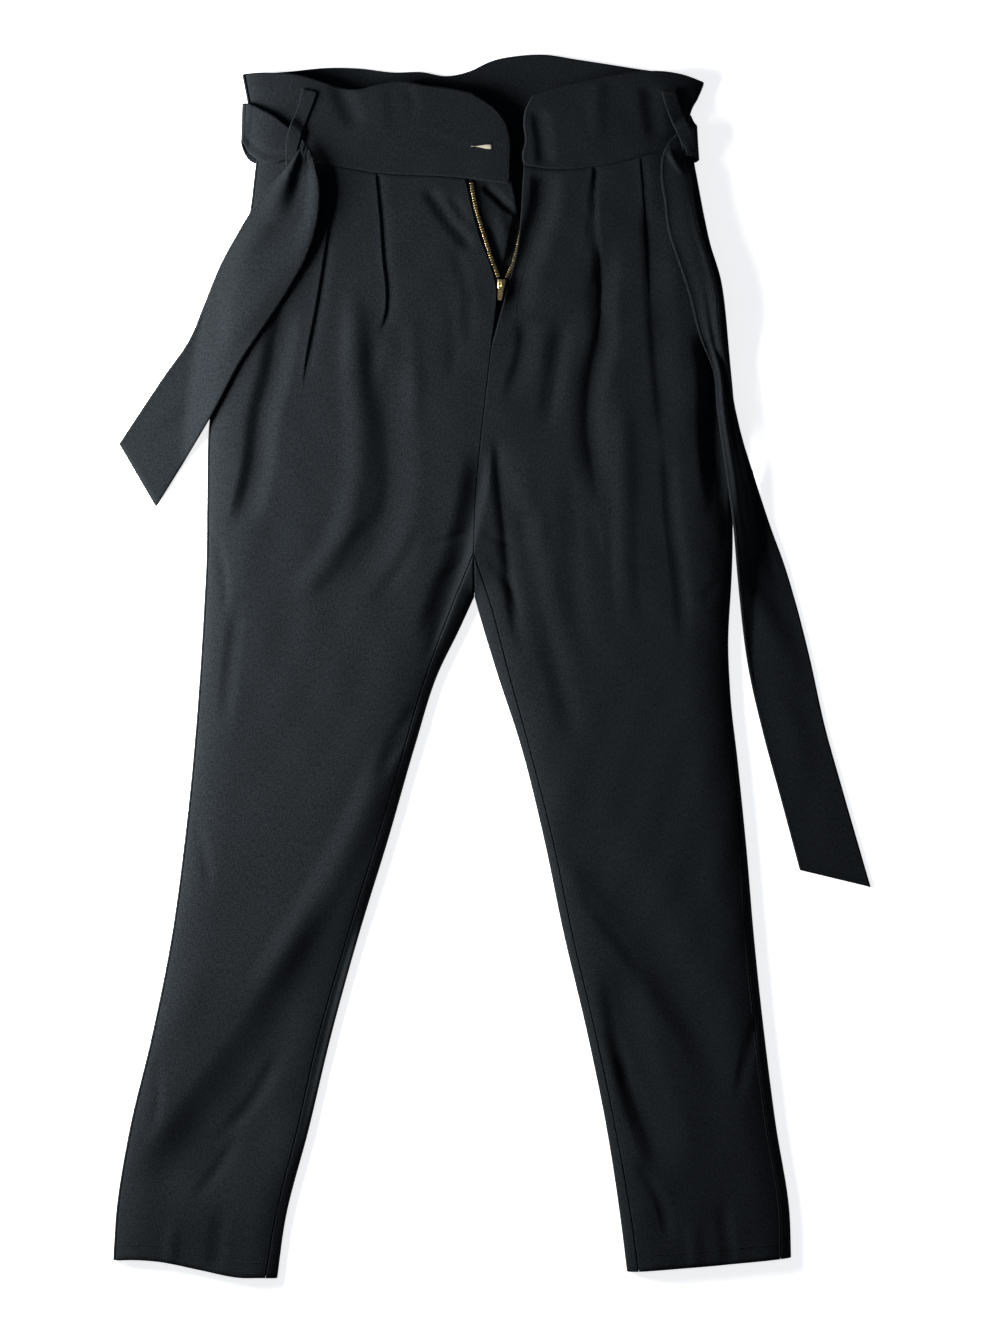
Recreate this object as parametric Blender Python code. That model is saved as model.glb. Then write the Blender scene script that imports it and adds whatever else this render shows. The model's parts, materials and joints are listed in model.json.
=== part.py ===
"""Paperbag waist trousers, laid flat on their back with the front up.

Sizes are in millimetres and become metres where a mesh is made. X runs across the
front, Y runs from the hems up to the waist, and Z rises from the surface that the
trousers lie on. Left and right are as seen from the front. Every panel is one sheet
of cloth: a grid of points on its middle surface, thickened by half a wall each way.
"""
import math
from collections import namedtuple

import bpy
import numpy as np
from mathutils import Vector
from mathutils.bvhtree import BVHTree

MM = 0.001

# Cloth and gaps
PANEL_WALL = 1.2
BAND_WALL = 1.8
BELT_WALL = 1.6
LOOP_WALL = 1.2
TAPE_WALL = 1.0
SHIELD_WALL = 1.2
GAP = 0.3

# How the garment lies
FLOOR_REST = PANEL_WALL / 2
BAND_REST = BELT_WALL + GAP + BAND_WALL / 2
BAND_RISE_FROM = 385.0
BAND_RISE_TO = 422.0
SIDE_LIFT = 2.5
CURL = 4.0
ROUND_PER_LOFT = 2.8
SIDE_SEAM_IN = 1.5
DRAPE_SLOPE = 0.45
DRAPE_FLAT = 5.0

# Mesh spacing
ROW_STEP = 42.0
HIP_ROW_STEP = 26.0
OUTLINE_STEP = 8.0

# Height of the front over the floor, from the hems up to the waistband's top
Loft = namedtuple("Loft", "y height")
LOFTS = (
    Loft(-522.0, 9.5),
    Loft(-330.0, 11.5),
    Loft(-60.0, 13.0),
    Loft(150.0, 14.0),
    Loft(330.0, 15.0),
    Loft(430.0, 16.0),
    Loft(522.0, 17.5),
)

# Sections of each half. outer: the silhouette at the side. seam: where the front
# ends, at the zip, the centre seam or the inner leg seam. fold: where the back
# ends at its centre seam, and lower down where it turns up round the inner leg.
# wrap: how far the outer leg seam lies inside the silhouette.
Section = namedtuple("Section", "name outer_x outer_y seam_x seam_y fold_x fold_y wrap")
LEFT_SECTIONS = (
    Section("waist", -200.5, 433.0, -22.5, 414.0, -12.0, 423.5, 1.5),
    Section("zip middle", -208.0, 377.5, -11.5, 369.0, -12.0, 372.5, 1.5),
    Section("slider", -222.0, 320.0, 3.5, 323.0, -12.0, 321.5, 1.5),
    Section("bartack", -234.5, 260.5, -0.5, 271.5, -12.0, 267.0, 1.5),
    Section("hip", -241.5, 201.0, -6.5, 219.5, -12.0, 211.0, 1.5),
    Section("seat", -243.0, 133.0, -13.0, 156.5, -13.0, 143.0, 1.5),
    Section("crotch", -244.5, 70.0, -15.5, 96.0, -15.0, 59.5, 1.5),
    Section("fork", -247.0, 25.5, -34.0, 51.0, -28.0, 31.0, 1.5),
    Section("top of thigh", -250.0, -20.0, -54.5, -3.0, -45.5, -5.0, 1.5),
    Section("thigh", -255.0, -81.5, -74.0, -67.0, -65.0, -66.0, 1.5),
    Section("above knee", -263.0, -156.0, -98.0, -147.5, -88.0, -146.0, 1.5),
    Section("knee", -273.5, -232.5, -123.0, -229.5, -113.0, -227.5, 1.5),
    Section("calf", -290.5, -317.5, -148.0, -316.0, -137.0, -314.5, 1.5),
    Section("low calf", -308.5, -392.5, -166.5, -397.5, -156.5, -396.0, 1.5),
    Section("ankle", -320.0, -462.0, -185.0, -472.5, -176.0, -471.5, 1.5),
    Section("hem", -323.0, -506.5, -193.0, -521.0, -183.0, -521.5, 1.5),
)
RIGHT_SECTIONS = (
    Section("waist", 170.0, 440.5, 27.0, 425.0, -12.0, 423.5, 1.5),
    Section("zip middle", 184.5, 366.5, 22.5, 362.5, -12.0, 372.5, 1.5),
    Section("slider", 196.0, 325.5, 14.0, 325.0, -12.0, 321.5, 1.5),
    Section("bartack", 202.5, 264.5, -0.5, 271.5, -12.0, 267.0, 1.5),
    Section("hip", 207.5, 202.5, -6.5, 219.5, -12.0, 211.0, 1.5),
    Section("seat", 205.5, 134.5, -13.0, 156.5, -13.0, 143.0, 1.5),
    Section("crotch", 204.0, 70.0, -15.5, 96.0, -15.0, 59.5, 1.5),
    Section("fork", 201.5, 25.5, -1.0, 53.0, -7.0, 31.0, 1.5),
    Section("top of thigh", 203.0, -20.0, 13.5, -1.5, 4.0, -5.0, 1.5),
    Section("thigh", 209.5, -81.5, 31.5, -67.0, 24.0, -66.0, 3.0),
    Section("above knee", 217.0, -156.0, 52.0, -147.5, 44.0, -146.0, 5.0),
    Section("knee", 223.5, -232.5, 69.0, -229.5, 61.0, -227.5, 7.0),
    Section("calf", 232.0, -312.5, 89.0, -314.5, 81.5, -314.5, 7.5),
    Section("low calf", 242.0, -391.0, 105.5, -394.0, 98.0, -396.0, 8.0),
    Section("ankle", 253.5, -464.0, 119.0, -470.5, 109.5, -471.5, 8.0),
    Section("hem", 255.0, -504.0, 125.0, -515.5, 115.0, -516.0, 9.0),
)
BARTACK = 3
CROTCH = 6
THIGH = 8

# The waistband's side edges, top to waist seam
LEFT_BAND_SIDE = ((-212.5, 504.0), (-208.0, 480.0), (-203.5, 456.0))
RIGHT_BAND_SIDE = ((180.0, 495.0), (176.0, 484.0), (168.5, 468.5), (168.5, 451.5))

# The waist seam, and the top edges of the three waistband pieces
LEFT_SEAM = ((-201.0, 433.0), (-143.0, 426.0), (-96.0, 418.5), (-33.0, 415.0), (16.0, 409.0))
RIGHT_SEAM = ((25.0, 425.5), (43.5, 422.5), (108.0, 427.5), (144.5, 437.0), (170.0, 440.5))
BACK_SEAM = ((-201.0, 433.0), (-12.0, 423.5), (170.0, 440.5))
LEFT_TOP = ((-212.5, 504.0), (-188.5, 504.0), (-166.0, 502.0), (-146.0, 496.5),
            (-131.0, 491.5), (-114.0, 489.5), (-98.0, 493.0), (-78.0, 496.5),
            (-57.0, 493.0), (-33.0, 490.0), (-18.0, 486.8), (16.0, 483.5))
RIGHT_TOP = ((26.0, 483.0), (40.0, 485.5), (65.5, 493.0), (92.5, 499.0),
             (118.0, 503.5), (145.0, 505.0), (162.5, 502.5), (180.0, 497.0))
BACK_TOP = ((-212.5, 504.0), (-166.0, 507.5), (-148.0, 509.5), (-114.0, 509.5),
            (-82.5, 506.0), (-61.0, 506.5), (-37.5, 503.0), (-18.0, 507.5),
            (-2.5, 515.0), (24.5, 520.5), (43.5, 521.3), (73.0, 517.0),
            (118.0, 510.0), (162.5, 502.5), (180.0, 497.0))

# The hem's slow wave: rise along X, from the outer leg seam in
LEFT_HEM = ((-323.0, 0.0), (-305.0, 3.0), (-286.0, 4.0), (-250.0, 1.0), (-215.0, -2.0),
            (-193.0, 0.0), (-183.0, 0.0))
RIGHT_HEM = ((115.0, 0.0), (185.0, -0.5), (255.0, 0.0))
HEM_WAVE_REACH = 60.0

# How far each front waistband piece reaches at a height, 0 at the seam, 1 at the top
Reach = namedtuple("Reach", "height x")
LEFT_END = (Reach(0.0, 15.5), Reach(0.25, 16.0), Reach(0.55, 15.5),
            Reach(0.75, 9.5), Reach(0.9, -2.5), Reach(1.0, -18.0))
BAND_HEIGHTS = (0.0, 0.12, 0.32, 0.52, 0.72, 0.87, 1.0)
RIGHT_END = (Reach(0.0, 27.0), Reach(0.1, 25.5), Reach(0.36, 28.0),
             Reach(0.62, 26.5), Reach(0.8, 28.0), Reach(1.0, 34.0))

# Folds in the front. depth is below the surface, or above it where it is negative.
# near and far are the half widths on the -X and the +X side of the path, start and end
# the lengths over which it fades in and out.
Fold = namedtuple("Fold", "name depth near far start end path")
FOLDS = (
    Fold("left pleat 1", 3.2, 5.0, 3.0, 5.0, 26.0,
         ((-99.0, 417.5), (-95.0, 376.0), (-93.0, 345.5), (-90.0, 317.0), (-91.0, 298.5),
          (-98.5, 279.0))),
    Fold("left pleat 2", 3.6, 3.0, 6.0, 5.0, 40.0,
         ((-136.0, 423.5), (-137.5, 388.5), (-142.5, 352.0), (-150.0, 305.5),
          (-158.0, 263.5), (-162.0, 232.0))),
    Fold("left hip trough", 3.5, 14.0, 11.0, 30.0, 40.0,
         ((-176.0, 311.5), (-181.5, 285.0), (-188.0, 248.5), (-197.0, 214.5),
          (-202.5, 170.0), (-217.5, 110.5))),
    Fold("left thigh ridge", -2.2, 16.0, 14.0, 30.0, 30.0,
         ((-114.0, 310.0), (-115.0, 248.5), (-115.0, 150.0), (-137.0, 92.0),
          (-171.0, 55.5))),
    Fold("left thigh trough", 3.0, 16.0, 26.0, 40.0, 40.0,
         ((-95.0, 270.0), (-90.0, 222.0), (-88.0, 140.0), (-98.0, 108.0), (-132.0, 66.5))),
    Fold("left inseam hollow", 4.5, 16.0, 10.0, 40.0, 40.0,
         ((-8.5, 191.0), (-12.0, 157.5), (-20.0, 118.5), (-29.0, 84.5), (-42.0, 53.0),
          (-55.0, 10.0))),
    Fold("left leg trough", 4.6, 22.0, 26.0, 50.0, 70.0,
         ((-125.0, -195.0), (-170.0, -271.0), (-207.5, -326.0), (-235.5, -364.5),
          (-257.5, -397.0), (-276.0, -421.5), (-290.0, -460.0))),
    Fold("right pleat 1", 4.6, 5.0, 13.0, 5.0, 50.0,
         ((87.0, 425.0), (92.0, 366.0), (94.0, 330.0), (92.0, 295.0), (87.0, 262.0),
          (83.0, 232.0), (84.0, 196.5), (92.0, 148.0))),
    Fold("right pleat 2", 2.2, 4.0, 7.0, 5.0, 40.0,
         ((125.0, 433.0), (129.5, 395.5), (133.0, 347.0), (134.5, 298.5), (138.0, 259.5),
          (142.0, 219.5))),
    Fold("right fly trough", 3.6, 10.0, 10.0, 8.0, 30.0,
         ((40.0, 425.0), (38.0, 378.5), (29.0, 344.5), (25.0, 308.0), (27.0, 280.0),
          (24.0, 258.0), (12.0, 225.0))),
    Fold("right crotch trough", 4.0, 9.0, 14.0, 40.0, 50.0,
         ((2.0, 205.0), (6.0, 160.0), (10.0, 118.5), (13.0, 84.5), (20.0, 40.0),
          (34.0, 0.0))),
    Fold("right small trough", 2.4, 9.0, 9.0, 30.0, 30.0,
         ((58.0, 300.0), (52.0, 253.5), (50.0, 232.0), (44.0, 195.0))),
    Fold("right pocket hollow", 5.0, 10.0, 12.0, 30.0, 30.0,
         ((178.0, 285.0), (185.0, 248.5), (184.5, 215.0), (184.0, 180.0))),
    Fold("right leg trough", 2.8, 16.0, 20.0, 50.0, 50.0,
         ((96.0, -250.0), (112.0, -330.0), (134.0, -400.0), (150.0, -440.0))),
    Fold("left band dent", 2.6, 12.0, 10.0, 8.0, 12.0,
         ((-132.0, 500.0), (-124.0, 478.0), (-112.0, 455.0))),
    Fold("right band dent", 2.2, 10.0, 12.0, 8.0, 12.0,
         ((132.0, 495.0), (135.0, 470.0), (140.0, 445.0))),
)

# Column lines that a front panel's mesh follows from the waist to the hem, with
# the offsets of the extra columns beside each
Guide = namedtuple("Guide", "near far path")
LEFT_GUIDES = (
    Guide(10.0, 9.0, ((-172.0, 430.0), (-176.0, 311.5), (-188.0, 248.5), (-200.0, 190.0),
                     (-217.5, 110.5), (-222.0, 20.0), (-240.0, -150.0), (-266.0, -310.0),
                     (-296.0, -450.0), (-300.0, -510.0))),
    Guide(2.6, 5.0, ((-136.0, 423.5), (-137.5, 388.5), (-142.5, 352.0), (-150.0, 305.5),
                     (-158.0, 263.5), (-166.0, 200.0), (-178.0, 100.0), (-191.0, 0.0),
                     (-208.0, -110.0), (-232.0, -230.0), (-258.0, -360.0),
                     (-280.0, -512.0))),
    Guide(4.5, 2.6, ((-99.0, 417.5), (-95.0, 376.0), (-93.0, 345.5), (-90.0, 317.0),
                     (-91.0, 298.5), (-94.0, 240.0), (-90.0, 141.5), (-111.5, 87.0),
                     (-137.5, 10.0), (-168.0, -110.0), (-196.0, -230.0),
                     (-222.0, -340.0), (-244.0, -516.0))),
)
RIGHT_GUIDES = (
    Guide(9.0, 9.0, ((162.0, 439.0), (172.0, 320.0), (185.0, 248.5), (184.0, 180.0),
                     (183.0, 60.0), (190.0, -100.0), (206.0, -280.0), (226.0, -420.0),
                     (232.0, -508.0))),
    Guide(3.0, 6.0, ((125.0, 433.0), (129.5, 395.5), (133.0, 347.0), (134.5, 298.5),
                     (138.0, 259.5), (144.0, 200.0), (148.0, 60.0), (160.0, -100.0),
                     (180.0, -280.0), (200.0, -420.0), (208.0, -510.0))),
    Guide(4.5, 9.0, ((87.0, 425.0), (92.0, 366.0), (94.0, 330.0), (92.0, 295.0),
                     (87.0, 262.0), (83.0, 232.0), (84.0, 196.5), (92.0, 148.0),
                     (100.0, 60.0), (119.0, -100.0), (146.0, -280.0), (168.0, -420.0),
                     (176.0, -512.0))),
    Guide(7.0, 8.0, ((40.0, 425.0), (38.0, 378.0), (29.5, 344.0), (25.5, 308.0),
                     (26.0, 280.0), (22.0, 255.0), (12.0, 225.0), (6.0, 195.0),
                     (6.0, 160.0), (10.0, 118.0), (14.0, 84.0), (22.0, 40.0),
                     (34.0, 0.0), (52.0, -67.0), (74.0, -147.0), (91.0, -229.0),
                     (111.0, -314.0), (127.0, -394.0), (141.0, -470.0), (147.0, -515.0))),
)
LEFT_NEAR_SEAM = (26.0, 14.0, 6.0)
RIGHT_NEAR_SEAM = (4.0,)
OUTER_COLUMNS = (2.0, 7.0, 15.0)
LEFT_FILLS = (0, 1, 2, 2)
RIGHT_FILLS = (0, 1, 1, 2, 0)

# Where a seam's neighbours lie on each side of it, so that both panels lean alike
SEAM_GHOST = 0.45
SEAM_STEP = 5.0
SEAM_BACK = 0.6
COLUMN_GAP = 2.2

# Belt: edges of each stretch, with the crest's place across it and its lift
Strip = namedtuple("Strip", "left_x left_y right_x right_y crest lift")
LEFT_TAIL = (
    Strip(-165.2, 431.8, -160.4, 446.0, 0.5, 0.0),
    Strip(-169.0, 427.8, -156.0, 441.2, 0.6, 0.6),
    Strip(-175.0, 421.0, -151.5, 433.0, 0.95, 2.0),
    Strip(-183.5, 412.5, -148.5, 422.0, 1.0, 3.5),
    Strip(-192.0, 402.5, -145.5, 408.0, 1.0, 4.0),
    Strip(-200.0, 393.0, -145.3, 392.0, 0.95, 3.5),
    Strip(-207.0, 383.5, -148.0, 374.0, 0.85, 2.5),
    Strip(-216.0, 369.0, -156.0, 349.0, 0.7, 1.5),
    Strip(-230.5, 343.5, -172.5, 319.0, 0.5, 1.0),
    Strip(-245.0, 309.5, -194.5, 286.0, 0.5, 0.8),
    Strip(-256.5, 281.5, -211.0, 262.0, 0.5, 0.6),
    Strip(-280.5, 246.0, -236.5, 216.0, 0.5, 0.4),
    Strip(-304.5, 210.0, -260.0, 178.0, 0.5, 0.2),
    Strip(-318.0, 189.5, -286.5, 135.5, 0.5, 0.0),
)
RIGHT_TAIL = (
    Strip(157.2, 452.0, 162.2, 434.0, 0.5, 0.0),
    Strip(151.5, 446.5, 163.0, 432.0, 0.5, 0.4),
    Strip(147.0, 439.5, 164.0, 429.0, 0.5, 1.0),
    Strip(144.0, 431.0, 165.5, 424.5, 0.6, 1.5),
    Strip(143.0, 417.5, 168.5, 417.5, 0.8, 2.0),
    Strip(146.0, 395.5, 172.0, 395.5, 0.85, 2.5),
    Strip(149.5, 369.0, 177.5, 369.0, 0.85, 3.0),
    Strip(156.5, 347.0, 185.0, 347.0, 0.85, 3.5),
    Strip(166.5, 317.0, 192.5, 317.0, 0.85, 4.0),
    Strip(176.0, 280.5, 196.0, 279.0, 0.7, 4.5),
    Strip(188.0, 250.0, 202.0, 247.5, 0.4, 4.5),
    Strip(191.0, 218.0, 207.5, 216.0, 0.3, 4.5),
    Strip(194.5, 192.5, 213.0, 194.0, 0.25, 4.5),
    Strip(200.0, 155.0, 223.5, 161.5, 0.2, 5.0),
    Strip(205.0, 116.0, 238.0, 117.5, 0.2, 6.0),
    Strip(208.0, 82.0, 249.5, 86.0, 0.2, 5.0),
    Strip(211.0, 53.5, 258.0, 58.0, 0.3, 3.5),
    Strip(217.5, 3.5, 270.5, 9.5, 0.45, 2.0),
    Strip(231.0, -57.0, 284.0, -51.5, 0.5, 1.2),
    Strip(245.5, -110.5, 298.5, -103.5, 0.5, 0.6),
    Strip(262.5, -174.0, 323.0, -188.5, 0.5, 0.0),
)

# Belt round each side: from the floor, round the edge and in under the loop
Turn = namedtuple("Turn", "x z low_y high_y")
LEFT_TURN = (
    Turn(-194.0, 0.8, 426.0, 480.0),
    Turn(-205.0, 0.8, 430.0, 480.0),
    Turn(-210.6, 1.5, 436.0, 479.5),
    Turn(-212.9, 4.0, 443.0, 479.5),
    Turn(-213.0, 7.4, 446.0, 479.0),
    Turn(-211.2, 10.8, 443.5, 478.5),
    Turn(-206.5, None, 436.5, 476.5),
    Turn(-198.5, None, 430.5, 472.0),
    Turn(-190.0, None, 427.0, 467.0),
    Turn(-181.0, None, 427.5, 460.5),
    Turn(-172.0, None, 430.0, 453.5),
    Turn(-163.2, None, 432.0, 446.2),
)
RIGHT_TURN = (
    Turn(155.0, 0.8, 426.0, 480.0),
    Turn(168.0, 0.8, 427.5, 472.0),
    Turn(172.2, 1.4, 429.0, 465.0),
    Turn(174.6, 3.8, 430.0, 461.5),
    Turn(174.8, 7.2, 430.5, 459.5),
    Turn(173.2, 10.4, 431.5, 458.0),
    Turn(169.5, None, 432.5, 456.0),
    Turn(165.0, None, 433.5, 454.0),
    Turn(160.2, None, 434.2, 452.0),
)
BELT_LOW_Y = 426.0
BELT_HIGH_Y = 480.0
LEFT_CUT_SLOPE = 0.31
RIGHT_CUT_SLOPE = -0.29

# Belt loops: centre line and width, from the upper end down
Loop = namedtuple("Loop", "x y width")
LEFT_LOOP = (
    Loop(-154.5, 488.5, 13.5),
    Loop(-157.5, 478.0, 12.5),
    Loop(-161.5, 467.0, 11.5),
    Loop(-166.0, 455.0, 12.0),
    Loop(-169.0, 443.0, 11.5),
    Loop(-170.2, 433.0, 9.5),
    Loop(-170.5, 424.5, 9.0),
)
RIGHT_LOOP = (
    Loop(150.0, 488.8, 12.5),
    Loop(152.5, 479.0, 12.5),
    Loop(157.0, 467.0, 12.5),
    Loop(162.0, 455.5, 12.5),
    Loop(166.3, 446.0, 12.0),
    Loop(169.0, 439.0, 9.8),
    Loop(169.7, 433.5, 9.0),
)

# Zip and fly, from the waist seam down
Fly = namedtuple("Fly", "y left_teeth right_teeth shield_right")
LEFT_TAPE_TOP = 418.0
RIGHT_TAPE_TOP = 429.0
FLY = (
    Fly(412.0, -17.5, 30.0, 17.0),
    Fly(388.0, -13.0, 27.5, 22.0),
    Fly(365.0, -6.0, 23.0, 25.5),
    Fly(343.0, 1.0, 17.5, 24.0),
    Fly(326.0, 7.0, 9.6, 21.0),
    Fly(296.0, 4.2, 4.6, 14.5),
    Fly(273.0, 0.8, 1.2, 7.0),
)
TAPE_WIDTH = 11.0
TAPE_PAST_TEETH = 0.8
TAPE_DROP = 1.7
SHIELD_DROP = 3.7
SHIELD_UNDER_TAPE = 9.0

# Slider and pull tab
SLACK = 0.15
SLIDER_X = 8.0
SLIDER_Y = 324.0
SLIDER_TURN = math.radians(-6.0)
SLIDER_WIDTH = 7.2
SLIDER_LENGTH = 9.0
SLIDER_PLATE = 2.0
BRIDGE_WIDTH = 1.2
BRIDGE_LENGTH = 4.4
BRIDGE_LEG = 1.1
BRIDGE_HEIGHT = 2.6
BRIDGE_TOP = 0.9
PULL_WIDTH = 4.4
PULL_WINDOW = 3.4
PULL_LENGTH = 14.5
PULL_PLATE = 1.0
PULL_ARM = 1.1
PIN_UP = 0.95

BLACK_CREPE = (0.012, 0.014, 0.017)
BLACK_TAPE = (0.010, 0.010, 0.012)
PALE_GOLD = (0.72, 0.50, 0.27)


def clear_scene():
    """Take everything out of the scene that the script starts in."""
    for thing in list(bpy.data.objects):
        bpy.data.objects.remove(thing, do_unlink=True)


def curve(knots, values, at):
    """Smooth curve through values at rising knots, read at one or many places."""
    knots = np.asarray(knots, float)
    values = np.asarray(values, float)
    at = np.asarray(at, float)
    step = np.diff(knots)
    slope = np.diff(values) / step
    lean = np.empty_like(values)
    lean[0] = slope[0]
    lean[-1] = slope[-1]
    lean[1:-1] = (slope[:-1] * step[1:] + slope[1:] * step[:-1]) / (step[:-1] + step[1:])
    cell = np.clip(np.searchsorted(knots, at, side="right") - 1, 0, len(step) - 1)
    width = step[cell]
    t = np.clip((at - knots[cell]) / width, 0.0, 1.0)
    start = values[cell] * (1 + 2 * t) * (1 - t) ** 2 + values[cell + 1] * t * t * (3 - 2 * t)
    bend = lean[cell] * width * t * (1 - t) ** 2 - lean[cell + 1] * width * t * t * (1 - t)
    return start + bend


def ease(low, high, at):
    """0 below low, 1 above high and a soft step between."""
    t = np.clip((np.asarray(at, float) - low) / (high - low), 0.0, 1.0)
    return t * t * (3 - 2 * t)


def along(points, at):
    """A smooth line y(x) through points with rising x."""
    xs, ys = zip(*points)
    return curve(xs, ys, at)


def chord_knots(points):
    """Distance from the first point to each point, along the straight pieces."""
    points = np.asarray(points, float)
    return np.concatenate(([0.0], np.cumsum(np.linalg.norm(np.diff(points, axis=0), axis=1))))


def line_through(points, step):
    """Points every step or so on the smooth line through a few given points."""
    points = np.asarray(points, float)
    knots = chord_knots(points)
    count = max(2, int(math.ceil(knots[-1] / step)) + 1)
    at = np.linspace(0.0, knots[-1], count)
    return np.stack([curve(knots, points[:, axis], at) for axis in range(points.shape[1])], 1)


def nearest_on(x, y, line):
    """Distance to a line of points, the part of its length there and the side."""
    x = np.asarray(x, float)
    y = np.asarray(y, float)
    length = chord_knots(line)
    best = np.full(x.shape, np.inf)
    place = np.zeros(x.shape)
    side = np.zeros(x.shape)
    for start, end, passed in zip(line[:-1], line[1:], length[:-1]):
        run = end - start
        reach = math.hypot(run[0], run[1])
        t = np.clip(((x - start[0]) * run[0] + (y - start[1]) * run[1]) / reach ** 2, 0, 1)
        dx = x - start[0] - t * run[0]
        dy = y - start[1] - t * run[1]
        distance = np.hypot(dx, dy)
        closer = distance < best
        best = np.where(closer, distance, best)
        place = np.where(closer, passed + t * reach, place)
        side = np.where(closer, run[0] * dy - run[1] * dx, side)
    return best, place, np.sign(side)


def cornered(knots, values, corners, at):
    """A smooth curve that may turn sharply at some of its knots."""
    result = np.zeros(len(at))
    for first, last in zip((0,) + corners, corners + (len(knots) - 1,)):
        part = (at >= knots[first]) & (at <= knots[last])
        piece = slice(first, last + 1)
        result[part] = curve(knots[piece], values[piece], at[part])
    return result


def row_counts(sections, steps):
    """How many mesh rows each stretch between two sections is divided in."""
    knots = [-row.fold_y for row in sections]
    return [max(1, int(round((high - low) / (steps[0] if number < THIGH else steps[1]))))
            for number, (low, high) in enumerate(zip(knots[:-1], knots[1:]))]


def row_of(sections, index, steps):
    """Number of the mesh row that lies on a section."""
    return sum(row_counts(sections, steps)[:index])


def section_rows(sections, steps):
    """The sections and smooth rows between them, as an array of their columns."""
    columns = np.array([row[1:] for row in sections], float)
    knots = -columns[:, 5]
    at = [knots[0]]
    for low, high, count in zip(knots[:-1], knots[1:], row_counts(sections, steps)):
        at.extend(low + (high - low) * (i + 1) / count for i in range(count))
    at = np.array(at)
    sides = [curve(knots, columns[:, i], at) for i in (0, 1)]
    seams = [cornered(knots, columns[:, i], (BARTACK, CROTCH), at) for i in (2, 3, 4, 5)]
    return np.stack(sides + seams + [curve(knots, columns[:, 6], at)], 1)


def outline_of(sections, first, columns):
    """The smooth line through two columns of the sections, from one section down."""
    steps = (OUTLINE_STEP, OUTLINE_STEP)
    return section_rows(sections, steps)[row_of(sections, first, steps):, columns]


def inset(line, amount):
    """A line moved along X towards the garment by half a wall."""
    moved = np.array(line, float)
    moved[:, 0] += amount
    return moved


LEFT_SIDE = inset(np.vstack((line_through(LEFT_BAND_SIDE, OUTLINE_STEP)[:-1],
                             line_through((LEFT_BAND_SIDE[-1], LEFT_SECTIONS[0][1:3]),
                                          OUTLINE_STEP)[:-1],
                             outline_of(LEFT_SECTIONS, 0, [0, 1]))), PANEL_WALL / 2)
RIGHT_SIDE = inset(np.vstack((line_through(RIGHT_BAND_SIDE, OUTLINE_STEP)[:-1],
                              line_through((RIGHT_BAND_SIDE[-1], RIGHT_SECTIONS[0][1:3]),
                                           OUTLINE_STEP)[:-1],
                              outline_of(RIGHT_SECTIONS, 0, [0, 1]))), -PANEL_WALL / 2)
LEFT_INNER = outline_of(LEFT_SECTIONS, CROTCH, [4, 5])
RIGHT_INNER = outline_of(RIGHT_SECTIONS, CROTCH, [4, 5])
FOLD_LINES = [line_through(fold.path, 12.0) for fold in FOLDS]


def loft_at(y):
    """Height of the front's middle over the floor at a place down the garment."""
    return curve([row.y for row in LOFTS], [row.height for row in LOFTS], y)


def rest_at(y):
    """Height of the back: on the floor, and over the belt at the waist."""
    return FLOOR_REST + (BAND_REST - FLOOR_REST) * ease(BAND_RISE_FROM, BAND_RISE_TO, y)


def round_off(distance, width):
    """Quarter ellipse: 0 at the silhouette, 1 from a width inside it."""
    t = 1 - np.clip(distance / width, 0.0, 1.0)
    return np.sqrt(1 - t * t)


def edge_distances(x, y):
    """Distance inside the outer silhouette and from the fork between the legs."""
    left = nearest_on(x, y, LEFT_SIDE)[0]
    right = nearest_on(x, y, RIGHT_SIDE)[0]
    inner_left = nearest_on(x, y, LEFT_INNER)[0]
    inner_right = nearest_on(x, y, RIGHT_INNER)[0]
    return np.minimum(left, right), np.minimum(inner_left, inner_right)


def relief(x, y):
    """Depth of the folds at a place on the front."""
    total = np.zeros(np.shape(x))
    for fold, line in zip(FOLDS, FOLD_LINES):
        distance, place, side = nearest_on(x, y, line)
        length = chord_knots(line)[-1]
        width = np.where(side < 0, fold.near, fold.far)
        bell = np.clip(1 - (distance / width) ** 2, 0.0, 1.0) ** 2
        fade = ease(0.0, fold.start, place) * ease(0.0, fold.end, length - place)
        total -= fold.depth * bell * fade
    return total


def front_height(x, y):
    """Middle surface of the front, and of what wraps to the front."""
    outer, inner = edge_distances(x, y)
    loft = loft_at(y)
    side = rest_at(y) + SIDE_LIFT
    width = loft * ROUND_PER_LOFT
    dome = round_off(outer, width) * round_off(inner, width)
    calm = ease(0.0, 12.0, outer) * ease(0.0, 6.0, inner)
    return side + (loft - side) * dome + relief(x, y) * calm


def back_height(x, y):
    """Middle surface of the back: flat, turned up at the silhouette."""
    outer, inner = edge_distances(x, y)
    turn = round_off(np.minimum(outer, inner), CURL)
    return rest_at(y) + SIDE_LIFT * (1 - turn)


def side_height(x, y):
    """Middle surface at the silhouette itself, where front and back meet."""
    return rest_at(y) + SIDE_LIFT


def raised(places, levels):
    """Rows of x, y places with their heights. levels gives a height rule by column."""
    places = np.asarray(places, float)
    x, y = places[..., 0], places[..., 1]
    height = np.zeros(x.shape)
    for rule in set(np.asarray(levels, object).ravel()):
        chosen = np.broadcast_to(np.asarray(levels, object) == rule, x.shape)
        height[chosen] = rule(x[chosen], y[chosen])
    return np.concatenate((places, height[..., None]), axis=2)


def trees_of(names):
    """What a strip may lie on or under: the named objects as they stand, in millimetres."""
    trees = []
    for name in names:
        mesh = bpy.data.objects[name].data
        points = [corner.co / MM for corner in mesh.vertices]
        trees.append(BVHTree.FromPolygons(points, [tuple(face.vertices)
                                                   for face in mesh.polygons]))
    return trees


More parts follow.
